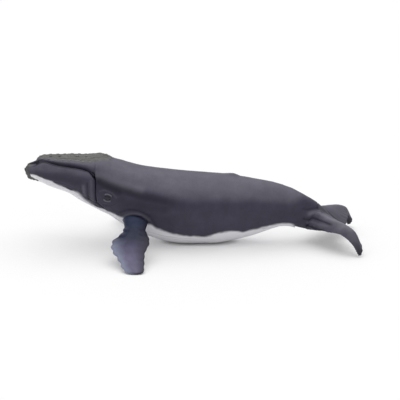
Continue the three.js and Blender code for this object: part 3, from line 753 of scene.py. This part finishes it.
def flipper_rings(side):
    """Rings of a flipper from inside the flank to the tip, with its paint masks."""
    main = np.linspace(-FLIPPER_BURIED, FLIPPER_TIP_START, FLIPPER_STEPS)
    tip = np.sin(np.linspace(0, math.pi / 2, FLIPPER_TIP_STEPS))[1:]
    ts = np.concatenate([main, FLIPPER_TIP_START + (1 - FLIPPER_TIP_START) * tip])
    turn = np.linspace(0, 2 * math.pi, FLIPPER_SECTION_STEPS, endpoint=False)
    t, turn = np.meshgrid(ts, turn, indexing="ij")
    pulse = 0.5 + 0.5 * np.cos(2 * math.pi * t / KNOB_SPACING)
    knobs = ease(*KNOB_START, t) * (1 - ease(*KNOB_END, t))
    past = np.maximum(0, t - FLIPPER_TIP_START) / (1 - FLIPPER_TIP_START)
    rounding = np.sqrt(np.maximum(FLIPPER_TIP_LEFT, 1 - past**3))
    front = read(FLIPPER_LEADING, t) - KNOB_HEIGHT * knobs * pulse
    rear = read(FLIPPER_TRAILING, t) - SCALLOP_HEIGHT * knobs * pulse
    share = 0.5 - 0.5 * np.cos(turn)
    half = (rear - front) / 2 * rounding
    thick = read(FLIPPER_THICKNESS, t) / 2 * np.sqrt(rounding)
    fingers = FINGER_HEIGHT * ease(*FINGER_START, t) * (1 - ease(*FINGER_END, t))
    fingers = fingers * np.cos(2 * FINGERS * math.pi * share) * np.sin(turn)
    height = thick * np.sin(turn) * (1 + FRONT_FULLNESS * np.cos(turn)) + fingers
    reach = np.maximum(t, 0)
    slope = -FLIPPER_DROP * FLIPPER_DROOP * reach ** (FLIPPER_DROOP - 1) / FLIPPER_SPAN
    tilt = np.hypot(slope, 1)
    x = (front + rear) / 2 - half * np.cos(turn)
    y = side * (FLIPPER_ROOT_Y + FLIPPER_SPAN * t - slope * height / tilt)
    z = FLIPPER_ROOT_Z - FLIPPER_DROP * reach**FLIPPER_DROOP + height / tilt
    points = np.stack([x, y, z], axis=2)
    bumps = waves(points.reshape(-1, 3), FLIPPER_LUMP, shift=2).reshape(t.shape) * FLIPPER_WAVE
    points[..., 2] = np.maximum(points[..., 2] + bumps * np.sign(np.sin(turn)), 0)
    rub = knobs * pulse**2 * (1 - ease(0, KNOB_RUB_REACH, share))
    return points, {"along": t, "across": share, "rub": rub}


def make_flipper(name, side):
    """One flipper, on the left (-1) or the right (1)."""
    return piece_from_rings(name, *flipper_rings(side))


def fluke_ring(y):
    """Section of the flukes at a distance from the middle, arched over the crest."""
    out = abs(y)
    scallops = ease(*FLUKE_SCALLOP_START, out) * (1 - ease(*FLUKE_SCALLOP_END, out))
    bite = FLUKE_SCALLOP_DEPTH * scallops * (0.5 - 0.5 * math.cos(2 * math.pi * out / FLUKE_SCALLOP_PITCH))
    lead_x, lead_z = read(FLUKE_LEADING_X, out), read(FLUKE_LEADING_Z, out)
    trail_x, trail_z = read(FLUKE_TRAILING_X, out), read(FLUKE_TRAILING_Z, out)
    crest = read(FLUKE_CREST_SHARE, out)
    rise = read(FLUKE_CREST_Z, out) - (lead_z + (trail_z - lead_z) * crest)
    turn = np.linspace(0, 2 * math.pi, FLUKE_SECTION_STEPS, endpoint=False)
    share = 0.5 - 0.5 * np.cos(turn)
    height = read(FLUKE_THICKNESS, out) / 2 * np.sin(turn) * (1 + FRONT_FULLNESS * np.cos(turn))
    x = lead_x + (trail_x - lead_x) * share - bite * ease(FLUKE_SCALLOP_REAR, 1, share)
    arch = np.where(share < crest, np.sin(share / crest * math.pi / 2),
                    0.5 + 0.5 * np.cos((share - crest) / (1 - crest) * math.pi))
    z = lead_z + (trail_z - lead_z) * share + arch * rise + height
    return np.column_stack([x, np.full(len(x), y), z])


def core_ring(x):
    """Whole section of the end of the tail stock, its lowest point once."""
    section = half_section(x)
    right = rows_between(section, [0, section[0][-1]], [TAIL_CORE_ROWS])
    return mirrored(upright(x, right))[1:]


def make_flukes():
    """Lobes and tail end melted together in one skin, then worked over."""
    turn = np.linspace(-1, 1, FLUKE_STATIONS) * math.pi / 2 * FLUKE_TIP_CROWDING
    ys = FLUKE_HALF_SPAN * np.sin(turn) / math.sin(math.pi / 2 * FLUKE_TIP_CROWDING)
    lobes = piece_from_rings("tail_fluke_skin", np.array([fluke_ring(y) for y in ys]), {})
    deselect()
    xs = np.linspace(TAIL_CORE_START, TAIL_CORE_END, TAIL_CORE_STATIONS)
    core = piece_from_rings("tail_core", np.array([core_ring(x) for x in xs]), {})
    joined_into(lobes, [core])
    bpy.ops.object.mode_set(mode="EDIT")
    bpy.ops.mesh.select_all(action="SELECT")
    bpy.ops.mesh.bisect(plane_co=(TAIL_CORE_START * MM, 0, 0), plane_no=(-1, 0, 0), clear_outer=False)
    bpy.ops.object.mode_set(mode="OBJECT")
    melt = lobes.modifiers.new("melt", "REMESH")
    melt.mode = "VOXEL"
    melt.voxel_size = FLUKE_VOXEL * MM
    bpy.ops.object.modifier_apply(modifier="melt")
    bpy.ops.object.mode_set(mode="EDIT")
    bpy.ops.mesh.select_all(action="SELECT")
    bpy.ops.mesh.vertices_smooth(factor=0.5, repeat=MELT_PASSES)
    bpy.ops.mesh.select_mode(type="VERT")
    bpy.ops.mesh.select_all(action="DESELECT")
    bpy.ops.object.mode_set(mode="OBJECT")
    for vertex in lobes.data.vertices:
        along = FAIRING_START_X * MM < vertex.co.x < FAIRING_END_X * MM
        vertex.select = along and abs(vertex.co.y) < FAIRING_HALF_WIDTH * MM
    bpy.ops.object.mode_set(mode="EDIT")
    bpy.ops.mesh.vertices_smooth(factor=0.5, repeat=FAIRING_PASSES)
    bpy.ops.object.mode_set(mode="OBJECT")
    work_over_flukes(lobes)
    return lobes


def work_over_flukes(piece):
    """Creases and folds in the flukes, and the masks that their paint follows: a painted highlight along the
    crest and dark wash and painted shade in the creases.
    """
    points, normals = skin_of(piece)
    x, out, z = points[:, 0], np.abs(points[:, 1]), points[:, 2]
    lead, trail = read(FLUKE_LEADING_X, out), read(FLUKE_TRAILING_X, out)
    across = np.clip((x - lead) / np.maximum(trail - lead, 1), 0, 1)
    rise = FLUKE_WAVE * waves(points, FLUKE_LUMP, shift=9)
    rub = np.exp(-(((across - read(FLUKE_CREST_SHARE, out)) / CREST_WIDTH) ** 2))
    rub = CREST_HIGHLIGHT * rub * ease(*CREST_START, out) * (1 - ease(*CREST_END, out))
    wash = np.zeros(len(points))
    front = (1 - ease(*FOLD_REACH, across)) * (1 - ease(*FOLD_END, out))
    # strokes seen from above, then those seen from the side
    for strokes, up, share in ((FLUKE_STROKES, out, 1), (FLUKE_FOLDS, z, front)):
        for stroke, width, height, dark in strokes:
            near = along_stroke(stroke, width, x, up) * share
            rise += height * near
            wash = np.maximum(wash, dark * near)
            rub = np.maximum(rub, np.clip(STROKE_RUB_AND_HIGHLIGHT * height, 0, 1) * near)
    points = points + normals * rise[:, None]
    points[:, 2] = np.maximum(points[:, 2], FLUKE_GROUND)
    piece.data.vertices.foreach_set("co", (points * MM).astype(np.float32).ravel())
    for name, mask in {"along": out / FLUKE_HALF_SPAN, "across": across, "rub": rub, "wash": wash}.items():
        layer = piece.data.attributes.new(name, "FLOAT", "POINT")
        layer.data.foreach_set("value", mask.astype(np.float32))


def skin_of(piece):
    """Points and normals of a piece's mesh, in millimetres."""
    count = len(piece.data.vertices)
    points, normals = np.empty(count * 3), np.empty(count * 3)
    piece.data.vertices.foreach_get("co", points)
    piece.data.vertices.foreach_get("normal", normals)
    return points.reshape(-1, 3) / MM, normals.reshape(-1, 3)


# Tubercles on the upper jaw: stations of the middle row and the side rows, sizes as shares of the radius
TUBERCLE_RADIUS = 1.7
TUBERCLE_PROUD = 0.5
TUBERCLE_CUT = -0.3
TUBERCLE_RUB = 0.35
TUBERCLE_SPIN = 6
MEDIAN_ROW = [-139, -131, -122.6, -114.6, -106.2, -98]
MEDIAN_SIZE = 1.0
SIDE_ROW = [-138 + 6.4 * i for i in range(8)]
SIDE_ROW_OUT = 0.72
SIDE_SIZE = 0.95
ROW_JITTER = 0.4

# Small ones strewn between them, and the knobs of the crusted chin
CROWN_BUMPS = 34
CROWN_BUMP_X = (-142, -80)
CROWN_BUMP_OUT = 0.7
CROWN_BUMP_SIZE = (0.4, 0.65)
CHIN_BUMPS = 22
CHIN_MIDDLE = (-145, 0, 69)
CHIN_TURN = 1.25
CHIN_LIFT = (-0.75, 0.5)
CHIN_BUMP_SIZE = (0.75, 1.15)
CHIN_BUMP_PROUD = 1.2
CHIN_BUMP_RUB = (0, 0.4)
CHIN_BUMP_WASH = (0.2, 0.6)

# Where the rays that find the skin start: over the head, and away from the chin
RAY_HEIGHT = 120
RAY_REACH = 40


def bump_master():
    """A low dome cut off flat below, shaped once and copied."""
    deselect()
    bpy.ops.mesh.primitive_uv_sphere_add(segments=16, ring_count=10, radius=MM)
    master = bpy.context.object
    master.name = "bump"
    master.data.materials.append(skin_vinyl)
    bpy.ops.object.mode_set(mode="EDIT")
    bpy.ops.mesh.select_all(action="SELECT")
    bpy.ops.mesh.bisect(plane_co=(0, 0, TUBERCLE_CUT * MM), plane_no=(0, 0, 1),
                        clear_inner=True, use_fill=True)
    bpy.ops.object.mode_set(mode="OBJECT")
    return master


def placed(master, spot, normal, radius, height, spin):
    """A copy of the master on a point of the skin, standing along the skin's normal."""
    copy = bpy.data.objects.new(master.name, master.data.copy())
    bpy.context.scene.collection.objects.link(copy)
    turn = normal.to_track_quat("Z", "Y").to_matrix().to_4x4() @ Matrix.Rotation(spin, 4, "Z")
    shape = Matrix.Diagonal((radius, radius, height, 1))
    copy.data.transform(Matrix.Translation(spot) @ turn @ shape)
    return copy


def masked(piece, **values):
    """Gives every point of a small piece the same paint masks."""
    for name, value in values.items():
        layer = piece.data.attributes.new(name, "FLOAT", "POINT")
        layer.data.foreach_set("value", np.full(len(piece.data.vertices), value, np.float32))
    return piece


def joined_into(piece, parts):
    """Joins the mesh of every part into a piece."""
    deselect()
    for part in parts:
        part.select_set(True)
    piece.select_set(True)
    bpy.context.view_layer.objects.active = piece
    bpy.ops.object.join()


def skin_tree(piece):
    """Finds where a ray meets a piece's skin."""
    mesh = bmesh.new()
    mesh.from_mesh(piece.data)
    tree = BVHTree.FromBMesh(mesh)
    mesh.free()
    return tree


def hit(tree, start, direction):
    """Place and normal where a ray from a start in millimetres first meets the skin."""
    spot, normal, _, _ = tree.ray_cast(Vector(start) * MM, Vector(direction).normalized())
    return spot, normal


def add_head_bumps(piece, draw):
    """Rows of tubercles on the upper jaw and small ones scattered between them."""
    tree = skin_tree(piece)
    master = bump_master()
    spots = [(x, 0, MEDIAN_SIZE) for x in MEDIAN_ROW]
    for x in SIDE_ROW:
        for side in (-1, 1):
            spots.append((x, side * SIDE_ROW_OUT * read(ROSTRUM_HALF_WIDTH, x), SIDE_SIZE))
    for _ in range(CROWN_BUMPS):
        x = draw.uniform(*CROWN_BUMP_X)
        across = draw.uniform(-CROWN_BUMP_OUT, CROWN_BUMP_OUT) * float(read(ROSTRUM_HALF_WIDTH, x))
        spots.append((x, across, draw.uniform(*CROWN_BUMP_SIZE)))
    parts = []
    for x, y, share in spots:
        above = (x + draw.uniform(-ROW_JITTER, ROW_JITTER), y, RAY_HEIGHT)
        spot, normal = hit(tree, above, (0, 0, -1))
        spin = draw.uniform(0, TUBERCLE_SPIN)
        part = placed(master, spot, normal, TUBERCLE_RADIUS * share, TUBERCLE_PROUD * share, spin)
        parts.append(masked(part, crown=1, rub=TUBERCLE_RUB, wash=0, white=0, shade=0))
    bpy.data.objects.remove(master)
    joined_into(piece, parts)


def add_jaw_bumps(piece, draw):
    """The crust of knobs on the chin."""
    tree = skin_tree(piece)
    master = bump_master()
    parts = []
    for _ in range(CHIN_BUMPS):
        turn, lift = draw.uniform(-CHIN_TURN, CHIN_TURN), draw.uniform(*CHIN_LIFT)
        way = Vector((-math.cos(turn) * math.cos(lift), math.sin(turn) * math.cos(lift), math.sin(lift)))
        spot, normal = hit(tree, Vector(CHIN_MIDDLE) + way * RAY_REACH, -way)
        if spot is None:
            continue
        size = draw.uniform(*CHIN_BUMP_SIZE)
        height = TUBERCLE_PROUD * size * CHIN_BUMP_PROUD
        part = placed(master, spot, normal, TUBERCLE_RADIUS * size, height, 0)
        rub, wash = draw.uniform(*CHIN_BUMP_RUB), draw.uniform(*CHIN_BUMP_WASH)
        parts.append(masked(part, crown=1, rub=rub, wash=wash, white=0, shade=0))
    bpy.data.objects.remove(master)
    joined_into(piece, parts)


# Eyes: a dark glossy ball between two lids, leaning part of the way toward the slope of the skin; the lids
# are painted lighter as a highlight over the flank's painted shade
EYE_X = -77
EYE_Z = 50.3
EYE_RAY_START = 60
EYE_LEAN = 0.6
EYE_LENGTH = 6.2
EYE_HEIGHT = 3.2
EYE_TILT = math.radians(15)
EYE_DEPTH = 1.2
LID_REACH = 3.9
LID_THICKNESS = 0.75
LID_CORNER = 2.9
LID_LENGTH = 1.15
LID_FLATNESS = 0.88
LID_HIGHLIGHT = 0.8
LID_SHADE = 0.8


def add_eyes(piece):
    """A dark ball and its lids set in both sides of the head."""
    tree = skin_tree(piece)
    parts = []
    for side in (-1, 1):
        spot, normal = hit(tree, (EYE_X, side * EYE_RAY_START, EYE_Z), (0, -side, 0))
        lean = Vector((0, side, 0)).lerp(normal, EYE_LEAN).to_track_quat("Z", "Y").to_matrix().to_4x4()
        stand = Matrix.Translation(spot) @ (lean @ Matrix.Rotation(side * EYE_TILT, 4, "Z"))
        deselect()
        bpy.ops.mesh.primitive_uv_sphere_add(segments=32, ring_count=16, radius=MM)
        ball = bpy.context.object
        ball.data.transform(stand @ Matrix.Diagonal((EYE_LENGTH / 2, EYE_HEIGHT / 2, EYE_DEPTH, 1)))
        ball.data.materials.append(eye_gloss)
        bpy.ops.object.shade_smooth()
        parts.append(masked(ball, crown=0, rub=0, wash=0, white=0, shade=1))
        deselect()
        bpy.ops.mesh.primitive_torus_add(major_radius=LID_REACH * MM, minor_radius=LID_THICKNESS * MM,
                                         major_segments=48, minor_segments=12)
        lids = bpy.context.object
        bpy.ops.object.mode_set(mode="EDIT")
        for corner in (-1, 1):
            bpy.ops.mesh.select_all(action="SELECT")
            bpy.ops.mesh.bisect(plane_co=(corner * LID_CORNER * MM, 0, 0), plane_no=(corner, 0, 0),
                                clear_outer=True, use_fill=True)
        bpy.ops.object.mode_set(mode="OBJECT")
        lids.data.transform(stand @ Matrix.Diagonal((LID_LENGTH, LID_FLATNESS, 1, 1)))
        bpy.ops.object.shade_smooth()
        lids.data.materials.append(skin_vinyl)
        parts.append(masked(lids, crown=0, rub=LID_HIGHLIGHT, wash=0, white=0, shade=LID_SHADE))
    joined_into(piece, parts)


# Paint colours, as seen in plain light, except that the back's coat carries painted light, the flank's
# painted shade, the flukes' tones painted light and shade and the flipper's root a painted highlight; a
# limb's tones are (share of its length, colour)
BACK_COAT_WITH_PAINTED_LIGHT = "5a5866"
FLANK_COAT_WITH_PAINTED_SHADE = "3c394b"
CROWN_COAT = "62635f"
WHITE_COAT = "f0eff4"
GROOVE_WASH_AND_SHADE = "1a1628"
EDGE_WEAR_AND_HIGHLIGHT_COAT = "8f8d98"
# The paler tone at the flipper's root is a painted highlight
FLIPPER_TONES_WITH_ROOT_HIGHLIGHT = [
    (0.0, "38415a"), (0.19, "2c3550"), (0.3, "18213c"), (0.42, "1b233e"), (0.52, "3a3757"),
    (0.6, "4f4b69"), (0.75, "615d7a"), (1.0, "68647f")]
FLIPPER_FRONT = "8d96ae"
FLIPPER_REAR = "161124"
# The flukes' tones are painted light and shade: darker at the root and the tips, lighter on the lit middle of
# the lobes
FLUKE_LIGHT_AND_SHADE_TONES = [(0.0, "44424f"), (0.3, "535160"), (0.74, "67656f"), (0.9, "5a5863"), (1.0, "3c3a45")]
FLUKE_FRONT = "525060"
FLUKE_REAR = "464451"
EYE_DARK = "1c1a20"
EYE_PALE = "3a3540"

# Lacquered vinyl: its optical values, and the sizes in millimetres of the patterns in paint and skin
VINYL_IOR = 1.5
LACQUER_ROUGHNESS = 0.5
LACQUER_SHEEN = 0.36
ENAMEL_ROUGHNESS = 0.12
PER_METRE = 1000
MOTTLE_SIZE = 11
LIMB_MOTTLE_SIZE = 8
FLECK_SIZE = 1.6
EYE_CLOUD_SIZE = 1.2
# The grain of a real mould is finer than this, which is as coarse as it needs to be to show
GRAIN_SIZE = 0.45
GRAIN_STRENGTH = 0.35
GRAIN_DEPTH = 0.06 * MM

# Range of a noise that its tones are spread over, and the darkest and palest tone of each pattern
NOISE_RANGE = (0.3, 0.7)
MOTTLE_TONES = (0.86, 1.12)
FLECK_TONES = (0.94, 1.06)
# How much of the pale coat of rubbed edges and painted highlights the skin and limbs take, and how much of
# the dark wash and painted shade the white loses
SKIN_RUB_AND_HIGHLIGHT = 0.45
LIMB_RUB_AND_HIGHLIGHT = 0.4
WASH_AND_SHADE_LOST_ON_WHITE = 0.72

# Sprays on the limbs: the pale one in front, the dark one behind and the dark tip, which is painted contact
# shade, over shares of a limb
SPRAY_SWAY = 0.3
FRONT_SPRAY = (0.12, 0.5)
FRONT_FADE = 0.14
REAR_FADE = 0.42
REAR_SPRAY = 0.95
TIP_SHADE_TONE = 0.55


def linear(code):
    """An sRGB hex colour as linear red, green and blue."""
    values = [int(code[i:i + 2], 16) / 255 for i in (0, 2, 4)]
    return tuple(v / 12.92 if v <= 0.04045 else ((v + 0.055) / 1.055) ** 2.4 for v in values) + (1,)


def grey(level):
    """A linear grey."""
    return (level, level, level, 1)


def add(nodes, kind, inputs=None, **settings):
    """Adds a node with its settings; an input that is a socket is linked, any other is a value."""
    new = nodes.new(kind)
    for name, value in settings.items():
        setattr(new, name, value)
    for key, value in (inputs or {}).items():
        if isinstance(value, bpy.types.NodeSocket):
            nodes.id_data.links.new(value, new.inputs[key])
        else:
            new.inputs[key].default_value = value
    return new


def started(name, roughness):
    """A new lacquered material with its nodes, its shader and the place that its patterns read."""
    material = bpy.data.materials.new(name)
    material.use_nodes = True
    nodes = material.node_tree.nodes
    shader = nodes["Principled BSDF"]
    shader.inputs["Roughness"].default_value = roughness
    shader.inputs["IOR"].default_value = VINYL_IOR
    shader.inputs["Specular IOR Level"].default_value = LACQUER_SHEEN
    place = add(nodes, "ShaderNodeTexCoord").outputs["Object"]
    return material, nodes, shader, place


def moulded_grain(nodes, shader, place):
    """The fine grain of the mould, which breaks up the sheen of the lacquer."""
    scale = PER_METRE / GRAIN_SIZE
    fine = add(nodes, "ShaderNodeTexNoise", {"Vector": place, "Scale": scale, "Detail": 2.0})
    bump = add(nodes, "ShaderNodeBump",
               {"Height": fine.outputs["Fac"], "Strength": GRAIN_STRENGTH, "Distance": GRAIN_DEPTH})
    nodes.id_data.links.new(bump.outputs["Normal"], shader.inputs["Normal"])


def make_skin_vinyl():
    """Moulded PVC under sprayed matt lacquer: soft broad sheen, painted light on the back, painted shade on
    the flank, dark wash and painted shade in the grooves, rubbed edges and painted highlights.
    """
    material, nodes, shader, place = started("painted_skin_vinyl", LACQUER_ROUGHNESS)
    mask = {name: add(nodes, "ShaderNodeAttribute", attribute_name=name).outputs["Fac"]
            for name in ("shade", "crown", "white", "wash", "rub")}
    coat = add(nodes, "ShaderNodeMix", {0: mask["shade"], 6: linear(BACK_COAT_WITH_PAINTED_LIGHT), 7: linear(FLANK_COAT_WITH_PAINTED_SHADE)},
               data_type="RGBA").outputs[2]
    coat = add(nodes, "ShaderNodeMix", {0: mask["crown"], 6: coat, 7: linear(CROWN_COAT)},
               data_type="RGBA").outputs[2]
    for size, detail, tones in ((MOTTLE_SIZE, 4.0, MOTTLE_TONES), (FLECK_SIZE, 3.0, FLECK_TONES)):
        pattern = add(nodes, "ShaderNodeTexNoise",
                      {"Vector": place, "Scale": PER_METRE / size, "Detail": detail})
        spread = add(nodes, "ShaderNodeMapRange",
                     {"Value": pattern.outputs["Fac"], "From Min": NOISE_RANGE[0], "From Max": NOISE_RANGE[1],
                      "To Min": tones[0], "To Max": tones[1]}).outputs["Result"]
        coat = add(nodes, "ShaderNodeVectorMath", {0: coat, "Scale": spread}, operation="SCALE").outputs[0]
    edge = add(nodes, "ShaderNodeMath", {0: mask["rub"], 1: SKIN_RUB_AND_HIGHLIGHT}, operation="MULTIPLY").outputs[0]
    coat = add(nodes, "ShaderNodeMix", {0: edge, 6: coat, 7: linear(EDGE_WEAR_AND_HIGHLIGHT_COAT)}, data_type="RGBA").outputs[2]
    coat = add(nodes, "ShaderNodeMix", {0: mask["white"], 6: coat, 7: linear(WHITE_COAT)},
               data_type="RGBA").outputs[2]
    # The dark wash and painted shade show less on the white
    thin = add(nodes, "ShaderNodeMath", {0: mask["white"], 1: -WASH_AND_SHADE_LOST_ON_WHITE, 2: 1.0},
               operation="MULTIPLY_ADD").outputs[0]
    deep = add(nodes, "ShaderNodeMath", {0: mask["wash"], 1: thin}, operation="MULTIPLY").outputs[0]
    coat = add(nodes, "ShaderNodeMix", {0: deep, 6: coat, 7: linear(GROOVE_WASH_AND_SHADE)},
               data_type="RGBA").outputs[2]
    nodes.id_data.links.new(coat, shader.inputs["Base Color"])
    moulded_grain(nodes, shader, place)
    return material


def make_limb_vinyl(name, tone_stops, front, rear, wear, wear_start, rear_start, tip_shade_start):
    """The same vinyl on a flipper or the flukes, sprayed in tones that follow its length, those of the flukes
    painted light and shade, and darkened at the tip as painted shade.
    """
    material, nodes, shader, place = started(name, LACQUER_ROUGHNESS)
    mask = {key: add(nodes, "ShaderNodeAttribute", attribute_name=key).outputs["Fac"]
            for key in ("along", "across", "rub", "wash")}
    ramp = add(nodes, "ShaderNodeValToRGB", {"Fac": mask["along"]})
    for i, (position, code) in enumerate(tone_stops):
        stop = ramp.color_ramp.elements[i] if i < 2 else ramp.color_ramp.elements.new(position)
        stop.position, stop.color = position, linear(code)
    coat = ramp.outputs["Color"]
    mottle = add(nodes, "ShaderNodeTexNoise",
                 {"Vector": place, "Scale": PER_METRE / LIMB_MOTTLE_SIZE, "Detail": 4.0})
    sway = add(nodes, "ShaderNodeMath", {0: mottle.outputs["Fac"], 1: SPRAY_SWAY, 2: mask["across"]},
               operation="MULTIPLY_ADD").outputs[0]
    ahead = add(nodes, "ShaderNodeMapRange",
                {"Value": sway, "From Min": FRONT_SPRAY[0], "From Max": FRONT_SPRAY[1],
                 "To Min": wear, "To Max": 0.0}).outputs["Result"]
    beyond = add(nodes, "ShaderNodeMapRange",
                 {"Value": mask["along"], "From Min": wear_start,
                  "From Max": wear_start + FRONT_FADE}).outputs["Result"]
    ahead = add(nodes, "ShaderNodeMath", {0: ahead, 1: beyond}, operation="MULTIPLY").outputs[0]
    behind = add(nodes, "ShaderNodeMapRange",
                 {"Value": sway, "From Min": rear_start, "From Max": rear_start + REAR_FADE,
                  "To Min": 0.0, "To Max": REAR_SPRAY}).outputs["Result"]
    edge = add(nodes, "ShaderNodeMath", {0: mask["rub"], 1: LIMB_RUB_AND_HIGHLIGHT}, operation="MULTIPLY").outputs[0]
    sprays = [(ahead, front), (behind, rear), (edge, EDGE_WEAR_AND_HIGHLIGHT_COAT), (mask["wash"], GROOVE_WASH_AND_SHADE)]
    for share, code in sprays:
        coat = add(nodes, "ShaderNodeMix", {0: share, 6: coat, 7: linear(code)}, data_type="RGBA").outputs[2]
    spread = add(nodes, "ShaderNodeMapRange",
                 {"Value": mottle.outputs["Fac"], "From Min": NOISE_RANGE[0], "From Max": NOISE_RANGE[1],
                  "To Min": MOTTLE_TONES[0], "To Max": MOTTLE_TONES[1]}).outputs["Result"]
    # Painted shade at the tip, where it comes down to the floor
    dark = add(nodes, "ShaderNodeMapRange",
               {"Value": mask["along"], "From Min": tip_shade_start, "From Max": 1.0,
                "To Min": 1.0, "To Max": TIP_SHADE_TONE}).outputs["Result"]
    both = add(nodes, "ShaderNodeMath", {0: spread, 1: dark}, operation="MULTIPLY").outputs[0]
    coat = add(nodes, "ShaderNodeVectorMath", {0: coat, "Scale": both}, operation="SCALE").outputs[0]
    nodes.id_data.links.new(coat, shader.inputs["Base Color"])
    moulded_grain(nodes, shader, place)
    return material


def make_eye_gloss():
    """Dark enamel, clouded a little and glossy enough to catch the light."""
    material, nodes, shader, place = started("eye_enamel", ENAMEL_ROUGHNESS)
    cloud = add(nodes, "ShaderNodeTexNoise", {"Vector": place, "Scale": PER_METRE / EYE_CLOUD_SIZE})
    coat = add(nodes, "ShaderNodeMix", {0: cloud.outputs["Fac"], 6: linear(EYE_DARK), 7: linear(EYE_PALE)},
               data_type="RGBA").outputs[2]
    nodes.id_data.links.new(coat, shader.inputs["Base Color"])
    return material


# White paper: its grey to the camera and to light that bounces, and a glow that keeps its shadow pale
FLOOR_SIZE = 12
FLOOR_WHITE = 0.77
FLOOR_BOUNCE = 0.9
FLOOR_GLOW = 0.235
PAPER_ROUGHNESS = 0.9
PAPER_SHEEN = 0.1
CONTACT_REACH = 4 * MM
CONTACT_SAMPLES = 16


def make_white_paper():
    """Matt white paper that glows a little to the camera, except close under the whale, where the missing
    glow is a painted contact shadow.
    """
    material = bpy.data.materials.new("white_paper")
    material.use_nodes = True
    nodes = material.node_tree.nodes
    shader = nodes["Principled BSDF"]
    shader.inputs["Roughness"].default_value = PAPER_ROUGHNESS
    shader.inputs["Specular IOR Level"].default_value = PAPER_SHEEN
    seen = add(nodes, "ShaderNodeLightPath").outputs["Is Camera Ray"]
    tone = add(nodes, "ShaderNodeMix", {0: seen, 6: grey(FLOOR_BOUNCE), 7: grey(FLOOR_WHITE)},
               data_type="RGBA").outputs[2]
    nodes.id_data.links.new(tone, shader.inputs["Base Color"])
    close_by = add(nodes, "ShaderNodeAmbientOcclusion", {"Distance": CONTACT_REACH},
                   samples=CONTACT_SAMPLES).outputs["AO"]
    glow = add(nodes, "ShaderNodeMath", {0: close_by, 1: FLOOR_GLOW}, operation="MULTIPLY").outputs[0]
    glow = add(nodes, "ShaderNodeMath", {0: seen, 1: glow}, operation="MULTIPLY").outputs[0]
    shader.inputs["Emission Color"].default_value = grey(1)
    nodes.id_data.links.new(glow, shader.inputs["Emission Strength"])
    return material


SMOOTH_ANGLE = math.radians(50)


def finished(piece, node, material):
    """Shades a piece smooth, hangs it on the root and hides the node that it replaces."""
    deselect()
    piece.select_set(True)
    bpy.context.view_layer.objects.active = piece
    if not piece.data.materials:
        piece.data.materials.append(material)
    bpy.ops.object.shade_smooth_by_angle(angle=SMOOTH_ANGLE)
    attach(piece, "root")
    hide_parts(node)


skin_vinyl = make_skin_vinyl()
flipper_vinyl = make_limb_vinyl("painted_flipper_vinyl", FLIPPER_TONES_WITH_ROOT_HIGHLIGHT, FLIPPER_FRONT, FLIPPER_REAR,
                                wear=0.9, wear_start=0.4, rear_start=0.74, tip_shade_start=0.975)
fluke_vinyl = make_limb_vinyl("painted_fluke_vinyl", FLUKE_LIGHT_AND_SHADE_TONES, FLUKE_FRONT, FLUKE_REAR,
                              wear=0.85, wear_start=-0.2, rear_start=0.62, tip_shade_start=0.93)
eye_gloss = make_eye_gloss()
draw = random.Random(SEED)

deselect()
back = make_back()
back.data.materials.append(skin_vinyl)
add_head_bumps(back, draw)
add_eyes(back)
finished(back, "back_body", skin_vinyl)

deselect()
belly = make_belly()
belly.data.materials.append(skin_vinyl)
add_jaw_bumps(belly, draw)
finished(belly, "belly_body", skin_vinyl)

for flipper_name, node_name, side in (("left_flipper_skin", "left_flipper", -1),
                                      ("right_flipper_skin", "right_flipper", 1)):
    deselect()
    finished(make_flipper(flipper_name, side), node_name, flipper_vinyl)

deselect()
finished(make_flukes(), "tail_flukes", fluke_vinyl)

# Camera at the photograph's angle
TARGET = Vector((7.7, 0, 40.5)) * MM
CAMERA_ELEVATION = math.radians(16)
CAMERA_DISTANCE = 1.3
CAMERA_LENS = 124.7
cam = bpy.data.objects.new("camera", bpy.data.cameras.new("camera"))
bpy.context.scene.collection.objects.link(cam)
cam.data.lens = CAMERA_LENS
away = Vector((0, -math.cos(CAMERA_ELEVATION), math.sin(CAMERA_ELEVATION)))
cam.location = TARGET + CAMERA_DISTANCE * away
cam.rotation_euler = (math.pi / 2 - CAMERA_ELEVATION, 0, 0)
bpy.context.scene.camera = cam

# Wide soft light overhead and a plain room round it
LAMP_POWER = 1.5
LAMP_SPREAD = math.radians(80)
LAMP_LEAN = (math.radians(-12), math.radians(4), 0)
ROOM_LIGHT = 0.54
bpy.ops.object.light_add(type="SUN", rotation=LAMP_LEAN)
lamp = bpy.context.object
lamp.name = "softbox"
lamp.data.energy = LAMP_POWER
lamp.data.angle = LAMP_SPREAD
room = bpy.data.worlds.new("room")
bpy.context.scene.world = room
room.use_nodes = True
room.node_tree.nodes["Background"].inputs["Color"].default_value = grey(ROOM_LIGHT)
bpy.context.scene.view_settings.view_transform = "Standard"

# Sheet of paper under the whale
deselect()
bpy.ops.mesh.primitive_plane_add(size=FLOOR_SIZE)
floor = bpy.context.object
floor.name = "floor"
floor.data.materials.append(make_white_paper())
